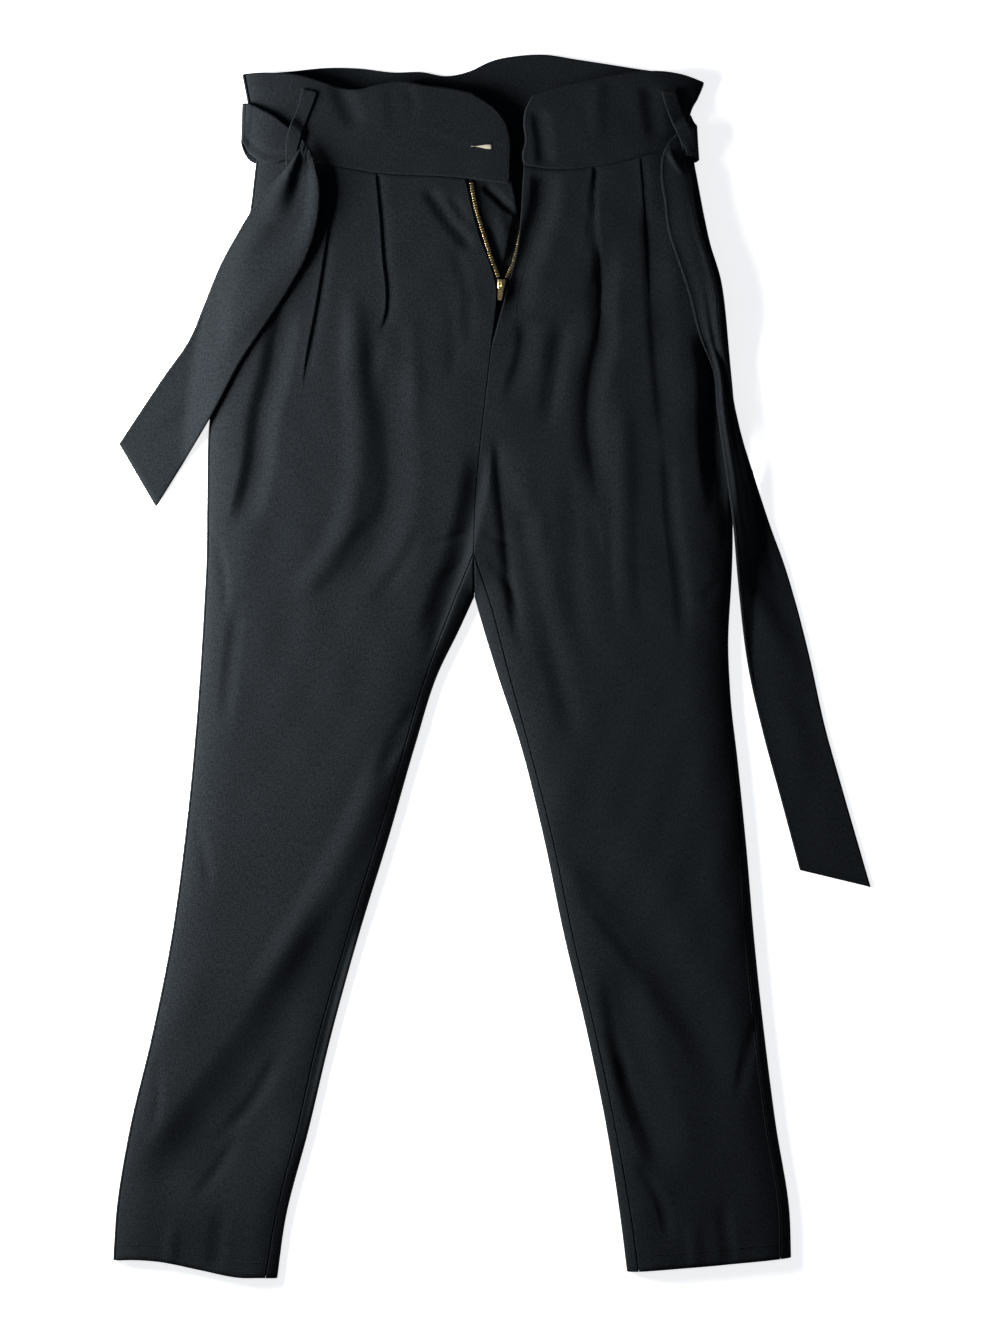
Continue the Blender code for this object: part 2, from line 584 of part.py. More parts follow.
def samples(reaches):
    """Offsets and distances of sample places on rings round a place."""
    found = []
    for reach in reaches:
        count = 12 if reach else 1
        for step in range(count):
            angle = step * math.tau / count
            found.append((reach * math.cos(angle), reach * math.sin(angle), reach))
    return found


def laid_over(x, y, trees, clearance, rest):
    """Lowest middle height of a strip that clears what it lies on, near and below."""
    height = np.full(x.shape, rest)
    rings = samples((0.0, 1.2, 2.4, 4.0, 7.0, 11.0, 16.0, 22.0))
    for place in np.ndindex(x.shape):
        for dx, dy, reach in rings:
            above = Vector((x[place] + dx, y[place] + dy, 80.0))
            for tree in trees:
                hit = tree.ray_cast(above, Vector((0.0, 0.0, -1.0)))[0]
                if hit:
                    drop = DRAPE_SLOPE * max(0.0, reach - DRAPE_FLAT)
                    height[place] = max(height[place], hit.z + clearance - drop)
    return height


def tucked_under(grid, trees, clearance):
    """A layer's middle surface, kept below what covers it."""
    rings = samples((0.0, 2.0, 4.0, 7.0))
    for place in np.ndindex(grid.shape[:2]):
        x, y = grid[place][:2]
        for dx, dy, _ in rings:
            below = Vector((x + dx, y + dy, -5.0))
            for tree in trees:
                hit = tree.ray_cast(below, Vector((0.0, 0.0, 1.0)))[0]
                if hit:
                    grid[place][2] = min(grid[place][2], hit.z - clearance)
    return grid


def material(name, colour, roughness, metallic):
    """A plain finish for one sub-part."""
    finish = bpy.data.materials.new(name)
    finish.use_nodes = True
    shader = finish.node_tree.nodes["Principled BSDF"]
    shader.inputs["Base Color"].default_value = (*colour, 1.0)
    shader.inputs["Roughness"].default_value = roughness
    shader.inputs["Metallic"].default_value = metallic
    return finish


def add_object(name, points, faces, finish):
    """A mesh object in metres from points in millimetres, facing out."""
    points = np.asarray(points, float)
    volume = 0.0
    for face in faces:
        for second, third in zip(face[1:-1], face[2:]):
            volume += np.dot(points[face[0]], np.cross(points[second], points[third]))
    if volume < 0:
        faces = [tuple(reversed(face)) for face in faces]
    mesh = bpy.data.meshes.new(name)
    mesh.from_pydata((points * MM).tolist(), [], faces)
    mesh.update()
    mesh.shade_smooth()
    mesh.set_sharp_from_angle(angle=math.radians(40.0))
    mesh.materials.append(finish)
    thing = bpy.data.objects.new(name, mesh)
    bpy.context.collection.objects.link(thing)
    return thing


def difference(grid, known, axis):
    """Change from the neighbour before to the neighbour after, where they exist."""
    before = np.roll(grid, 1, axis)
    after = np.roll(grid, -1, axis)
    has_before = np.roll(known, 1, axis)
    has_after = np.roll(known, -1, axis)
    ends = [slice(None), slice(None)]
    ends[axis] = 0
    has_before[tuple(ends)] = False
    ends[axis] = -1
    has_after[tuple(ends)] = False
    low = np.where(has_before[..., None], before, grid)
    high = np.where(has_after[..., None], after, grid)
    return high - low


def sheet(name, grid, wall, finish, ghost=(0, 0), known=None, pull=None):
    """Close a grid of middle points into a sheet of one wall's thickness.

    ghost: columns at each end that only lean the normals and are dropped.
    known: which points exist. pull: how far the end columns draw back, per row.
    """
    grid = np.asarray(grid, float)
    known = np.ones(grid.shape[:2], bool) if known is None else known
    normal = np.cross(difference(grid, known, 1), difference(grid, known, 0))
    size = np.linalg.norm(normal, axis=2, keepdims=True)
    normal = normal / np.where(size > 0, size, 1.0)
    keep = slice(ghost[0], grid.shape[1] - ghost[1])
    grid, normal, known = grid[:, keep].copy(), normal[:, keep], known[:, keep]
    if pull is not None:
        for column, inner, amounts in ((0, 1, pull[0]), (-1, -2, pull[1])):
            run = grid[:, inner] - grid[:, column]
            run /= np.linalg.norm(run, axis=1, keepdims=True)
            grid[:, column] += run * np.asarray(amounts, float)[:, None]
    rows, columns = known.shape
    number = -np.ones((rows, columns), int)
    number[known] = np.arange(known.sum())
    top = grid[known] + normal[known] * wall / 2
    bottom = grid[known] - normal[known] * wall / 2
    count = len(top)
    faces = []
    edges = {}
    for r in range(rows - 1):
        for c in range(columns - 1):
            ring = (number[r, c], number[r, c + 1], number[r + 1, c + 1], number[r + 1, c])
            if min(ring) < 0:
                continue
            ring = tuple(int(corner) for corner in ring)
            faces.append(ring)
            faces.append(tuple(corner + count for corner in reversed(ring)))
            for start, end in zip(ring, ring[1:] + ring[:1]):
                if (end, start) in edges:
                    del edges[(end, start)]
                else:
                    edges[(start, end)] = True
    for start, end in edges:
        faces.append((end, start, start + count, end + count))
    return add_object(name, np.vstack((top, bottom)), faces, finish)


def crossing(start, end, path):
    """Part of the way from start to end where a row meets a guide line."""
    line = line_through(path, 15.0)
    t = 0.5
    for _ in range(6):
        y = start[1] + t * (end[1] - start[1])
        x = np.interp(-y, -line[:, 1], line[:, 0])
        t = (x - start[0]) / (end[0] - start[0])
    return float(t)


def seam_bow(sections, y_seam, t, fade):
    """How far a row bows off the straight, so that the top row is the waist seam."""
    start = np.array(sections[0][1:3])
    end = np.array(sections[0][3:5])
    x = start[0] + t * (end[0] - start[0])
    straight = start[1] + t * (end[1] - start[1])
    return (along(y_seam, x) - straight) * fade


PanelRow = namedtuple("PanelRow", "outer seam fold wrap rise leg")


def panel_rows(sections, hem):
    """The rows that a front and its back share, with the gap at the centre seams."""
    steps = (HIP_ROW_STEP, ROW_STEP)
    sign = 1.0 if sections[0].outer_x < 0 else -1.0
    tack = row_of(sections, BARTACK, steps)
    fork = row_of(sections, CROTCH, steps)
    rows = []
    for number, row in enumerate(section_rows(sections, steps)):
        outer = np.array((row[0] + sign * PANEL_WALL / 2, row[1]))
        seam = np.array((row[2], row[3]))
        fold = np.array((row[4], row[5]))
        if tack <= number <= fork:
            seam[0] -= sign * GAP / 2
        fold[0] -= sign * (GAP / 2 if number <= fork else 0.0)
        fold[0] -= sign * (PANEL_WALL / 2 if number >= fork else 0.0)
        reach = float(ease(sections[-1].outer_y + HEM_WAVE_REACH, sections[-1].outer_y, row[1]))
        rise = (hem, reach)
        rows.append(PanelRow(outer, seam, fold, row[6], rise, number - fork))
    return rows


def waved(points, row, top_gap):
    """Row places with the hem's wave, drawn back from the waist seam by half the gap."""
    hem, reach = row.rise
    return [(x, y + reach * float(along(hem, x)) - top_gap) for x, y in points]


def front_columns(start, end, guides, fills, near_seam, wrap):
    """Places of a front panel's columns along one row, 0 outside to 1 at the seam."""
    length = math.hypot(end[0] - start[0], end[1] - start[1])
    places = [(wrap + extra) / length for extra in OUTER_COLUMNS]
    groups = []
    for guide in guides:
        middle = crossing(start, end, guide.path)
        sides = (guide.near, guide.far) if start[0] < end[0] else (guide.far, guide.near)
        groups.append([middle - sides[0] / length, middle, middle + sides[1] / length])
    groups.append([1 - distance / length for distance in near_seam] + [1.0])
    for group, fill in zip(groups, fills):
        low = places[-1]
        places.extend(low + (group[0] - low) * (i + 1) / (fill + 1) for i in range(fill))
        places.extend(group)
    step = COLUMN_GAP / length
    for number in range(1, len(places)):
        places[number] = max(places[number], places[number - 1] + step)
    places[-1] = 1.0
    for number in range(len(places) - 2, -1, -1):
        places[number] = min(places[number], places[number + 1] - step)
    return [wrap * SEAM_GHOST / length, wrap / length] + places


def front_panel(name, sections, guides, fills, near_seam, seam_line, hem, finish):
    """One front panel, from the waist seam to the hem."""
    rows = panel_rows(sections, hem)
    grid = []
    for number, row in enumerate(rows):
        outer, seam = row.outer, row.seam
        fade = 1.0 - float(ease(0.0, 90.0, rows[0].outer[1] - outer[1]))
        places = front_columns(outer, seam, guides, fills, near_seam, row.wrap)
        points = []
        for t in places:
            x, y = outer + t * (seam - outer)
            points.append((x, y + seam_bow(sections, seam_line, t, fade)))
        if row.leg < 0:
            points.append(seam + (seam - outer) / np.linalg.norm(seam - outer) * SEAM_STEP)
        else:
            points.append(seam + (row.fold - seam) * SEAM_BACK)
        grid.append(waved(points, row, GAP / 2 if number == 0 else 0.0))
    pulls = ([GAP / 2] * len(rows), [GAP / 2 if row.leg >= 0 else 0.0 for row in rows])
    return sheet(name, raised(grid, front_height), PANEL_WALL, finish, (1, 1), None, pulls)


def back_panel(name, sections, near_seam, hem, finish):
    """One back panel, with the strips that wrap to the front at its leg seams."""
    rows = panel_rows(sections, hem)
    flats = 3
    levels = [front_height] * 3 + [side_height] + [back_height] * (flats + 6)
    levels = [levels + [side_height if row.leg >= 0 else back_height] + [front_height] * 4
              for row in rows]
    grid = []
    for number, row in enumerate(rows):
        outer, seam, fold, wrap = row.outer, row.seam, row.fold, row.wrap
        spread = 1.0 + 3.0 * min(1.0, max(0.0, -row.leg / 2.0))
        length = np.linalg.norm(fold - outer)
        run = (fold - outer) / length
        across = (seam - outer) / np.linalg.norm(seam - outer)
        points = [outer + across * inward
                  for inward in (wrap + OUTER_COLUMNS[0], wrap, wrap * SEAM_GHOST, 0.0)]
        floor = [0.4, 1.6, CURL]
        floor += [CURL + (length - CURL - CURL * spread) * (i + 1) / (flats + 1)
                  for i in range(flats)]
        floor += [length - CURL * spread, length - 1.6 * spread, length - 0.4 * spread]
        points += [outer + run * inward for inward in floor]
        points += [fold + (seam - fold) * part for part in (0.0, 0.1, 1 - SEAM_BACK, 1.0)]
        points.append(seam - across * near_seam[-1])
        grid.append(waved(points, row, GAP / 2 if number == 0 else 0.0))
    known = np.ones((len(rows), len(grid[0])), bool)
    known[[row.leg < 0 for row in rows], -4:] = False
    pulls = ([GAP / 2] * len(rows), [GAP / 2 if row.leg >= 0 else 0.0 for row in rows])
    return sheet(name, raised(grid, levels), PANEL_WALL, finish, (1, 1), known, pulls)


def side_x(side, y):
    """The silhouette's middle surface at a height, on one side."""
    return np.interp(-np.asarray(y, float), -side[:, 1], side[:, 0])


def front_band(name, side, seam, top, end, finish):
    """One front waistband piece, from the side seam to its end at the fly."""
    across = (0.05, 0.1, 0.18, 0.27, 0.36, 0.45, 0.54, 0.63, 0.72, 0.81, 0.9, 0.95, 1.0)
    sign = 1.0 if end[0].x > side[0, 0] else -1.0
    reach = curve([row.height for row in end], [row.x for row in end], BAND_HEIGHTS)
    grid = []
    for height, x_end in zip(BAND_HEIGHTS, reach):
        y_side = float(along(seam, side[0, 0] + sign * 12)) * (1 - height)
        y_side += height * float(along(top, side[0, 0]))
        x_side = float(side_x(side, y_side))
        width = x_end - x_side
        xs = [x_side + sign * inward
              for inward in (SIDE_SEAM_IN * SEAM_GHOST, SIDE_SEAM_IN, SIDE_SEAM_IN + 2.0)]
        xs += [x_side + width * part for part in across]
        xs.append(x_end + sign * 4.0)
        low = along(seam, xs) + GAP / 2
        grid.append(list(zip(xs, low + height * (along(top, xs) - low))))
    grid = raised(grid, front_height)
    pulls = ([GAP / 2] * len(BAND_HEIGHTS), [0.0] * len(BAND_HEIGHTS))
    return sheet(name, grid, BAND_WALL, finish, (1, 1), None, pulls)


def back_band(name, finish):
    """The back waistband, with its strips to the side seams."""
    flats = 13
    grid = []
    for height in BAND_HEIGHTS:
        low_left, high_left = LEFT_SEAM[0][1], LEFT_TOP[0][1]
        low_right, high_right = RIGHT_SEAM[-1][1], RIGHT_TOP[-1][1]
        left = float(side_x(LEFT_SIDE, low_left + height * (high_left - low_left)))
        right = float(side_x(RIGHT_SIDE, low_right + height * (high_right - low_right)))
        turn = (SIDE_SEAM_IN + 2.0, SIDE_SEAM_IN, SIDE_SEAM_IN * SEAM_GHOST, 0.0)
        xs = [left + inward for inward in turn]
        xs += [left + 0.4, left + 1.6, left + CURL]
        xs += [left + CURL + (right - left - 2 * CURL) * (i + 1) / (flats + 1)
               for i in range(flats)]
        xs += [right - CURL, right - 1.6, right - 0.4]
        xs += [right - inward for inward in reversed(turn)]
        low = np.interp(xs, *zip(*BACK_SEAM)) + GAP / 2
        grid.append(list(zip(xs, low + height * (along(BACK_TOP, xs) - low))))
    wrapped = [front_height] * 3 + [side_height]
    grid = raised(grid, wrapped + [back_height] * (flats + 6) + wrapped[::-1])
    pulls = ([GAP / 2] * len(BAND_HEIGHTS), [GAP / 2] * len(BAND_HEIGHTS))
    return sheet(name, grid, BAND_WALL, finish, (1, 1), None, pulls)


def strip_grid(rows, per_gap, across):
    """Points across a strip whose edges, crest and lift come from a short table."""
    table = np.array(rows, float)
    middle = (table[:, 0:2] + table[:, 2:4]) / 2
    knots = chord_knots(middle)
    at = [knots[0]]
    for low, high in zip(knots[:-1], knots[1:]):
        at.extend(low + (high - low) * (i + 1) / per_gap for i in range(per_gap))
    columns = [curve(knots, table[:, i], at) for i in range(6)]
    grid = []
    for left_x, left_y, right_x, right_y, crest, lift in zip(*columns):
        line = []
        for part in across:
            x = left_x + part * (right_x - left_x)
            y = left_y + part * (right_y - left_y)
            bell = max(0.0, 1 - abs(part - crest) / (0.45 + abs(crest - 0.5) * 0.8))
            line.append((x, y, lift * bell * bell * (3 - 2 * bell)))
        grid.append(line)
    return np.array(grid)


def belt_tail(name, rows, support, finish):
    """A free end of the belt, lying over the hip and then on the floor."""
    grid = strip_grid(rows, 2, (0.0, 0.2, 0.4, 0.6, 0.8, 1.0))
    grid[..., 2] += laid_over(grid[..., 0], grid[..., 1], trees_of(support),
                              BELT_WALL / 2 + GAP + SLACK, BELT_WALL / 2)
    return sheet(name, grid, BELT_WALL, finish)


def belt_turn(name, rows, cut_slope, support, finish):
    """The belt from the floor, round the waist's edge and in under the loop."""
    grid = []
    last = rows[-1]
    for number, row in enumerate(rows):
        line = []
        lean = cut_slope * (number / (len(rows) - 1)) ** 2
        for part in (0.0, 0.33, 0.67, 1.0):
            y = row.low_y + part * (row.high_y - row.low_y)
            x = row.x + lean * (y - (last.low_y + last.high_y) / 2)
            line.append((x, y, row.z if row.z is not None else 0.0))
        grid.append(line)
    grid = np.array(grid)
    height = laid_over(grid[..., 0], grid[..., 1], trees_of(support),
                       BELT_WALL / 2 + GAP + SLACK, BELT_WALL / 2)
    for number, row in enumerate(rows):
        if row.z is None:
            grid[number, :, 2] = height[number]
    return sheet(name, grid, BELT_WALL, finish)


def belt_back(name, finish):
    """The belt's hidden stretch, flat on the floor under the back waistband."""
    left = LEFT_TURN[0].x + GAP
    right = RIGHT_TURN[0].x - GAP
    columns = np.linspace(left, right, 6)
    grid = [[(x, y, BELT_WALL / 2) for x in columns] for y in (BELT_LOW_Y, BELT_HIGH_Y)]
    return sheet(name, grid, BELT_WALL, finish)


def belt_loop(name, rows, support, finish):
    """A loop sewn at both ends, arched over the belt."""
    table = np.array(rows, float)
    knots = chord_knots(table[:, 0:2])
    at = np.linspace(0.0, knots[-1], 13)
    xs, ys, widths = (curve(knots, table[:, i], at) for i in range(3))
    run = np.stack((np.gradient(xs), np.gradient(ys)), 1)
    run /= np.linalg.norm(run, axis=1, keepdims=True)
    across = np.stack((-run[:, 1], run[:, 0]), 1) * widths[:, None]
    grid = []
    for x, y, side in zip(xs, ys, across):
        grid.append([(x + part * side[0], y + part * side[1])
                     for part in (-0.5, -0.17, 0.17, 0.5)])
    grid = np.array(grid)
    height = laid_over(grid[..., 0], grid[..., 1], trees_of(support),
                       LOOP_WALL / 2 + GAP + SLACK, LOOP_WALL / 2)
    return sheet(name, np.concatenate((grid, height[..., None]), axis=2), LOOP_WALL, finish)


def fly_layer(rows, covers, drop, wall):
    """Rows of places on a layer a set distance under the front's middle."""
    grid = raised(rows, front_height)
    grid[..., 2] -= drop
    return tucked_under(grid, trees_of(covers), wall / 2 + GAP + SLACK)


def fly_shield(name, covers, finish):
    """The flap behind the zip, seen where the fly stands open."""
    rows = [[(x, row.y) for x in np.linspace(row.left_teeth - SHIELD_UNDER_TAPE,
                                             row.shield_right, 6)] for row in FLY]
    return sheet(name, fly_layer(rows, covers, SHIELD_DROP, SHIELD_WALL), SHIELD_WALL, finish)


def zip_tape(name, side, top_y, covers, finish):
    """One zip tape, sewn under the edge of its front panel."""
    rows = []
    for number, row in enumerate(FLY):
        closed = row.y < SLIDER_Y
        past = -GAP / 2 if closed else TAPE_PAST_TEETH
        teeth = row.left_teeth if side < 0 else row.right_teeth
        if closed:
            teeth = (row.left_teeth + row.right_teeth) / 2
        y = row.y if number else top_y
        rows.append([(x, y) for x in np.linspace(teeth - side * past,
                                                 teeth + side * TAPE_WIDTH, 4)])
    return sheet(name, fly_layer(rows, covers, TAPE_DROP, TAPE_WALL), TAPE_WALL, finish)


def slider_seat():
    """Height of the slider's underside, on the tapes."""
    xs = np.linspace(-SLIDER_WIDTH / 2, SLIDER_WIDTH / 2, 5) + SLIDER_X
    ys = np.linspace(-SLIDER_LENGTH / 2, SLIDER_LENGTH / 2, 5) + SLIDER_Y
    tapes = trees_of(("zip_tape_left", "zip_tape_right", "fly_shield"))
    height = 0.0
    for x in xs:
        for y in ys:
            for tree in tapes:
                hit = tree.ray_cast(Vector((x, y, 80.0)), Vector((0.0, 0.0, -1.0)))[0]
                height = max(height, hit.z if hit else 0.0)
    return height + GAP


def place_at_slider(thing, height):
    """Stand an object at the slider, turned with the zip."""
    thing.location = (SLIDER_X * MM, SLIDER_Y * MM, height * MM)
    thing.rotation_euler = (0.0, 0.0, SLIDER_TURN)


def extruded(name, profile, width, hole, finish):
    """A profile in Y and Z with an optional hole, extruded to a width along X."""
    outer = list(profile)
    inner = list(hole) if hole else []
    count = len(outer)
    points = []
    for x in (-width / 2, width / 2):
        points += [(x, y, z) for y, z in outer + inner]
    total = count + len(inner)
    faces = [(i, (i + 1) % count, (i + 1) % count + total, i + total) for i in range(count)]
    if inner:
        for i in range(count):
            j = (i + 1) % count
            faces.append((i, count + i, count + j, j))
            faces.append((i + total, j + total, count + j + total, count + i + total))
            faces.append((count + i, count + i + total, count + j + total, count + j))
    else:
        faces.append(tuple(reversed(range(count))))
        faces.append(tuple(range(total, total + count)))
    return add_object(name, points, faces, finish)


def zip_slider(name, finish):
    """The slider's body with the bridge that holds the pull tab."""
    half_width = SLIDER_WIDTH / 2
    half_length = SLIDER_LENGTH / 2
    outline = [(-half_width + 0.8, half_length), (-half_width, half_length - 1.2),
               (-half_width, -half_length + 3.6), (-half_width + 1.3, -half_length),
               (half_width - 1.3, -half_length), (half_width, -half_length + 3.6),
               (half_width, half_length - 1.2), (half_width - 0.8, half_length)]
    count = len(outline)
    points = []
    for z, part in ((0.0, 0.94), (0.35, 1.0), (SLIDER_PLATE - 0.5, 1.0), (SLIDER_PLATE, 0.86)):
        points += [(x * part, y * part, z) for x, y in outline]
    faces = [tuple(reversed(range(count))), tuple(range(3 * count, 4 * count))]
    for level in range(3):
        for i in range(count):
            j = (i + 1) % count
            low = level * count
            faces.append((low + i, low + j, low + count + j, low + count + i))
    body = add_object(name, points, faces, finish)
    half = BRIDGE_LENGTH / 2
    base = SLIDER_PLATE - 0.4
    high = SLIDER_PLATE + BRIDGE_HEIGHT
    outer = [(-half, base), (half, base), (half, high - 0.8), (half - 0.8, high),
             (-half + 0.8, high), (-half, high - 0.8)]
    inner_half = half - BRIDGE_LEG
    inner_high = high - BRIDGE_TOP
    inner_low = SLIDER_PLATE + 0.02
    inner = [(-inner_half, inner_low), (inner_half, inner_low), (inner_half, inner_high - 0.3),
             (inner_half - 0.3, inner_high), (-inner_half + 0.3, inner_high),
             (-inner_half, inner_high - 0.3)]
    bridge = extruded("bridge_form", outer, BRIDGE_WIDTH, inner, finish)
    bridge.hide_render = True
    bridge.display_type = "WIRE"
    for thing in (body, bridge):
        place_at_slider(thing, slider_seat())
    join = body.modifiers.new("bridge", "BOOLEAN")
    join.operation = "UNION"
    join.object = bridge
    return body


def zip_pull(name, finish):
    """The pull tab: a frame round the bridge and a short plate, pinned on X."""
    half = PULL_WIDTH / 2
    arm = half - PULL_ARM
    tip = 1.3
    pin = PULL_PLATE / 2
    outline = [(-half, pin), (half, pin), (half, -PULL_LENGTH + tip), (half - tip, -PULL_LENGTH),
               (-half + tip, -PULL_LENGTH), (-half, -PULL_LENGTH + tip)]
    window = [(-arm, -pin), (arm, -pin), (arm, -PULL_WINDOW), (arm - 0.3, -PULL_WINDOW),
              (-arm + 0.3, -PULL_WINDOW), (-arm, -PULL_WINDOW + 0.02)]
    points = []
    for z in (-PULL_PLATE / 2, PULL_PLATE / 2):
        points += [(x, y, z) for x, y in outline + window]
    count = len(outline)
    total = 2 * count
    faces = []
    for i in range(count):
        j = (i + 1) % count
        faces.append((i, j, j + total, i + total))
        faces.append((i, count + i, count + j, j))
        faces.append((i + total, j + total, count + j + total, count + i + total))
        faces.append((count + i, count + i + total, count + j + total, count + j))
    pull = add_object(name, points, faces, finish)
    place_at_slider(pull, slider_seat() + SLIDER_PLATE + PIN_UP)
    return pull


def centre_on_origin():
    """Move the whole garment so that its box stands centred on the origin."""
    bpy.context.view_layer.update()
    solids = [thing for thing in bpy.data.objects if thing.type == "MESH"]
    low = np.full(3, np.inf)
    high = np.full(3, -np.inf)
    for thing in solids:
        for corner in thing.bound_box:
            place = np.array(thing.matrix_world @ Vector(corner))
            low = np.minimum(low, place)
            high = np.maximum(high, place)
    shift = Vector(((low[0] + high[0]) / -2, (low[1] + high[1]) / -2, -low[2]))
    for thing in solids:
        thing.location += shift
    print("moved by", [round(value / MM, 3) for value in shift], "mm")
    print("size", [round(value / MM, 1) for value in high - low], "mm")


def build():
    """All the pieces, from the back up."""
    clear_scene()
    crepe = material("black_crepe", BLACK_CREPE, 0.85, 0.0)
    tape = material("zip_tape_cloth", BLACK_TAPE, 0.8, 0.0)
    gold = material("pale_gold_metal", PALE_GOLD, 0.3, 1.0)
    back_panel("back_left", LEFT_SECTIONS, LEFT_NEAR_SEAM, LEFT_HEM, crepe)
    back_panel("back_right", RIGHT_SECTIONS, RIGHT_NEAR_SEAM, RIGHT_HEM, crepe)
    front_panel("front_left", LEFT_SECTIONS, LEFT_GUIDES, LEFT_FILLS, LEFT_NEAR_SEAM,
                LEFT_SEAM, LEFT_HEM, crepe)
    front_panel("front_right", RIGHT_SECTIONS, RIGHT_GUIDES, RIGHT_FILLS, RIGHT_NEAR_SEAM,
                RIGHT_SEAM, RIGHT_HEM, crepe)
    back_band("waistband_back", crepe)
    front_band("waistband_front_left", LEFT_SIDE, LEFT_SEAM, LEFT_TOP, LEFT_END, crepe)
    front_band("waistband_front_right", RIGHT_SIDE, RIGHT_SEAM, RIGHT_TOP, RIGHT_END, crepe)
    fronts = ["front_left", "front_right", "waistband_front_left", "waistband_front_right"]
    zip_tape("zip_tape_left", -1.0, LEFT_TAPE_TOP, fronts, tape)
    zip_tape("zip_tape_right", 1.0, RIGHT_TAPE_TOP, fronts, tape)
    fly_shield("fly_shield", fronts + ["zip_tape_left", "zip_tape_right"], crepe)
    zip_slider("zip_slider", gold)
    zip_pull("zip_pull", gold)
    belt_back("belt_back", crepe)
    belt_turn("belt_side_left", LEFT_TURN, LEFT_CUT_SLOPE, fronts, crepe)
    belt_turn("belt_side_right", RIGHT_TURN, RIGHT_CUT_SLOPE, fronts, crepe)
    belt_loop("belt_loop_left", LEFT_LOOP, fronts + ["belt_side_left"], crepe)
    belt_loop("belt_loop_right", RIGHT_LOOP, fronts + ["belt_side_right"], crepe)
    hips = ["back_left", "back_right"] + fronts
    belt_tail("belt_tail_left", LEFT_TAIL, hips + ["belt_loop_left"], crepe)
    belt_tail("belt_tail_right", RIGHT_TAIL, hips, crepe)
    centre_on_origin()


build()
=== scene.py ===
# %% [markdown]
# # Paperbag waist trousers, laid flat with the front up
# This lesson dresses a CAD model of black crepe trousers: a folded-over waistband,
# a pleated front, an open zip fly and a loose tie belt. The CAD model has the true
# form in a few thick solids. Here each piece of cloth becomes a thin shell with fine
# folds, and the sewing, the zip's teeth and the finishes are added.
# Sizes are in millimetres until a mesh is made. X runs across the front, Y up to the
# waist, and Z up from the table. Left and right are as seen from the front.

import json
import math
from collections import namedtuple

import bpy
import numpy as np
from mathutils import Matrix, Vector
from mathutils.bvhtree import BVHTree

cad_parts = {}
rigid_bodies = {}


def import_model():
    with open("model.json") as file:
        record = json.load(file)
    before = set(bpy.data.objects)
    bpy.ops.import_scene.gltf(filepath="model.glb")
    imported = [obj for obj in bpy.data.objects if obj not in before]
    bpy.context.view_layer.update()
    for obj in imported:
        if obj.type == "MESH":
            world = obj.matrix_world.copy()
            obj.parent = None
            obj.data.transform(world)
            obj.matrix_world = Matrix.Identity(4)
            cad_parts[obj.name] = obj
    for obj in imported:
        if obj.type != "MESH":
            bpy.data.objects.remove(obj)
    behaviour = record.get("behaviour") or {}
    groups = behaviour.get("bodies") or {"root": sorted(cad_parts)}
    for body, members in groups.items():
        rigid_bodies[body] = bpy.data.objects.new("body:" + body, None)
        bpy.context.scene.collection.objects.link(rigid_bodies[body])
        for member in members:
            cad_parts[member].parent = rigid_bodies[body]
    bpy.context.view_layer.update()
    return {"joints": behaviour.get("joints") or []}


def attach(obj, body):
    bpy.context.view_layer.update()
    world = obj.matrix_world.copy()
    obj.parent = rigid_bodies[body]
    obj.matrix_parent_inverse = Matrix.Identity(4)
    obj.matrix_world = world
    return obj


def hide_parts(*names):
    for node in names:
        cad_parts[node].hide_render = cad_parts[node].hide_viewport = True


for thing in list(bpy.data.objects):
    bpy.data.objects.remove(thing, do_unlink=True)
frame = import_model()

# %% [markdown]
# ## Camera
# The photograph looks straight down on the flat trousers. A long lens from three
# metres up keeps the legs from leaning outwards. The picture is a little taller than
# the garment, so its long side spans 1.133 m of table.

# %% The camera
VIEW_CENTRE = (0.0068, -0.0002)
VIEW_HEIGHT = 1.133
LENS = 100.0
SENSOR = 36.0
CLOTH_LEVEL = 0.012

camera_data = bpy.data.cameras.new("camera")
camera_data.lens = LENS
camera_data.sensor_width = SENSOR
camera = bpy.data.objects.new("camera", camera_data)
camera.location = (*VIEW_CENTRE, CLOTH_LEVEL + VIEW_HEIGHT * LENS / SENSOR)
bpy.context.scene.collection.objects.link(camera)
bpy.context.scene.camera = camera
print("camera stands", round(camera.location.z, 3), "m up")

# %% [markdown]
# ## Light
# Black cloth shows its folds only by the light that grazes it. One broad soft lamp
# low on the left does that, as a window would, and the right leg falls away darker.
# A wide faint lamp above and a pale sky from all round keep the hollows readable.

# %% Lamps and sky
Lamp = namedtuple("Lamp", "name place aim side watts colour")
LAMPS = (
    Lamp("window_lamp", (-0.86, 0.17, 0.30), (0.0, 0.0, 0.0), 0.52, 46.0, (1.0, 0.99, 0.97)),
    Lamp("top_lamp", (-0.9, 0.3, 2.2), (0.1, 0.0, 0.0), 1.6, 1.6, (0.72, 0.87, 1.0)),
)
SKY_COLOUR = (0.55, 0.74, 1.0, 1.0)
SKY_STRENGTH = 0.09

for row in LAMPS:
    data = bpy.data.lights.new(row.name, "AREA")
    data.shape = "SQUARE"
    data.size = row.side
    data.energy = row.watts
    data.color = row.colour
    lamp = bpy.data.objects.new(row.name, data)
    lamp.location = row.place
    way = Vector(row.aim) - Vector(row.place)
    lamp.rotation_euler = way.to_track_quat("-Z", "Y").to_euler()
    lamp.visible_camera = False
    bpy.context.scene.collection.objects.link(lamp)

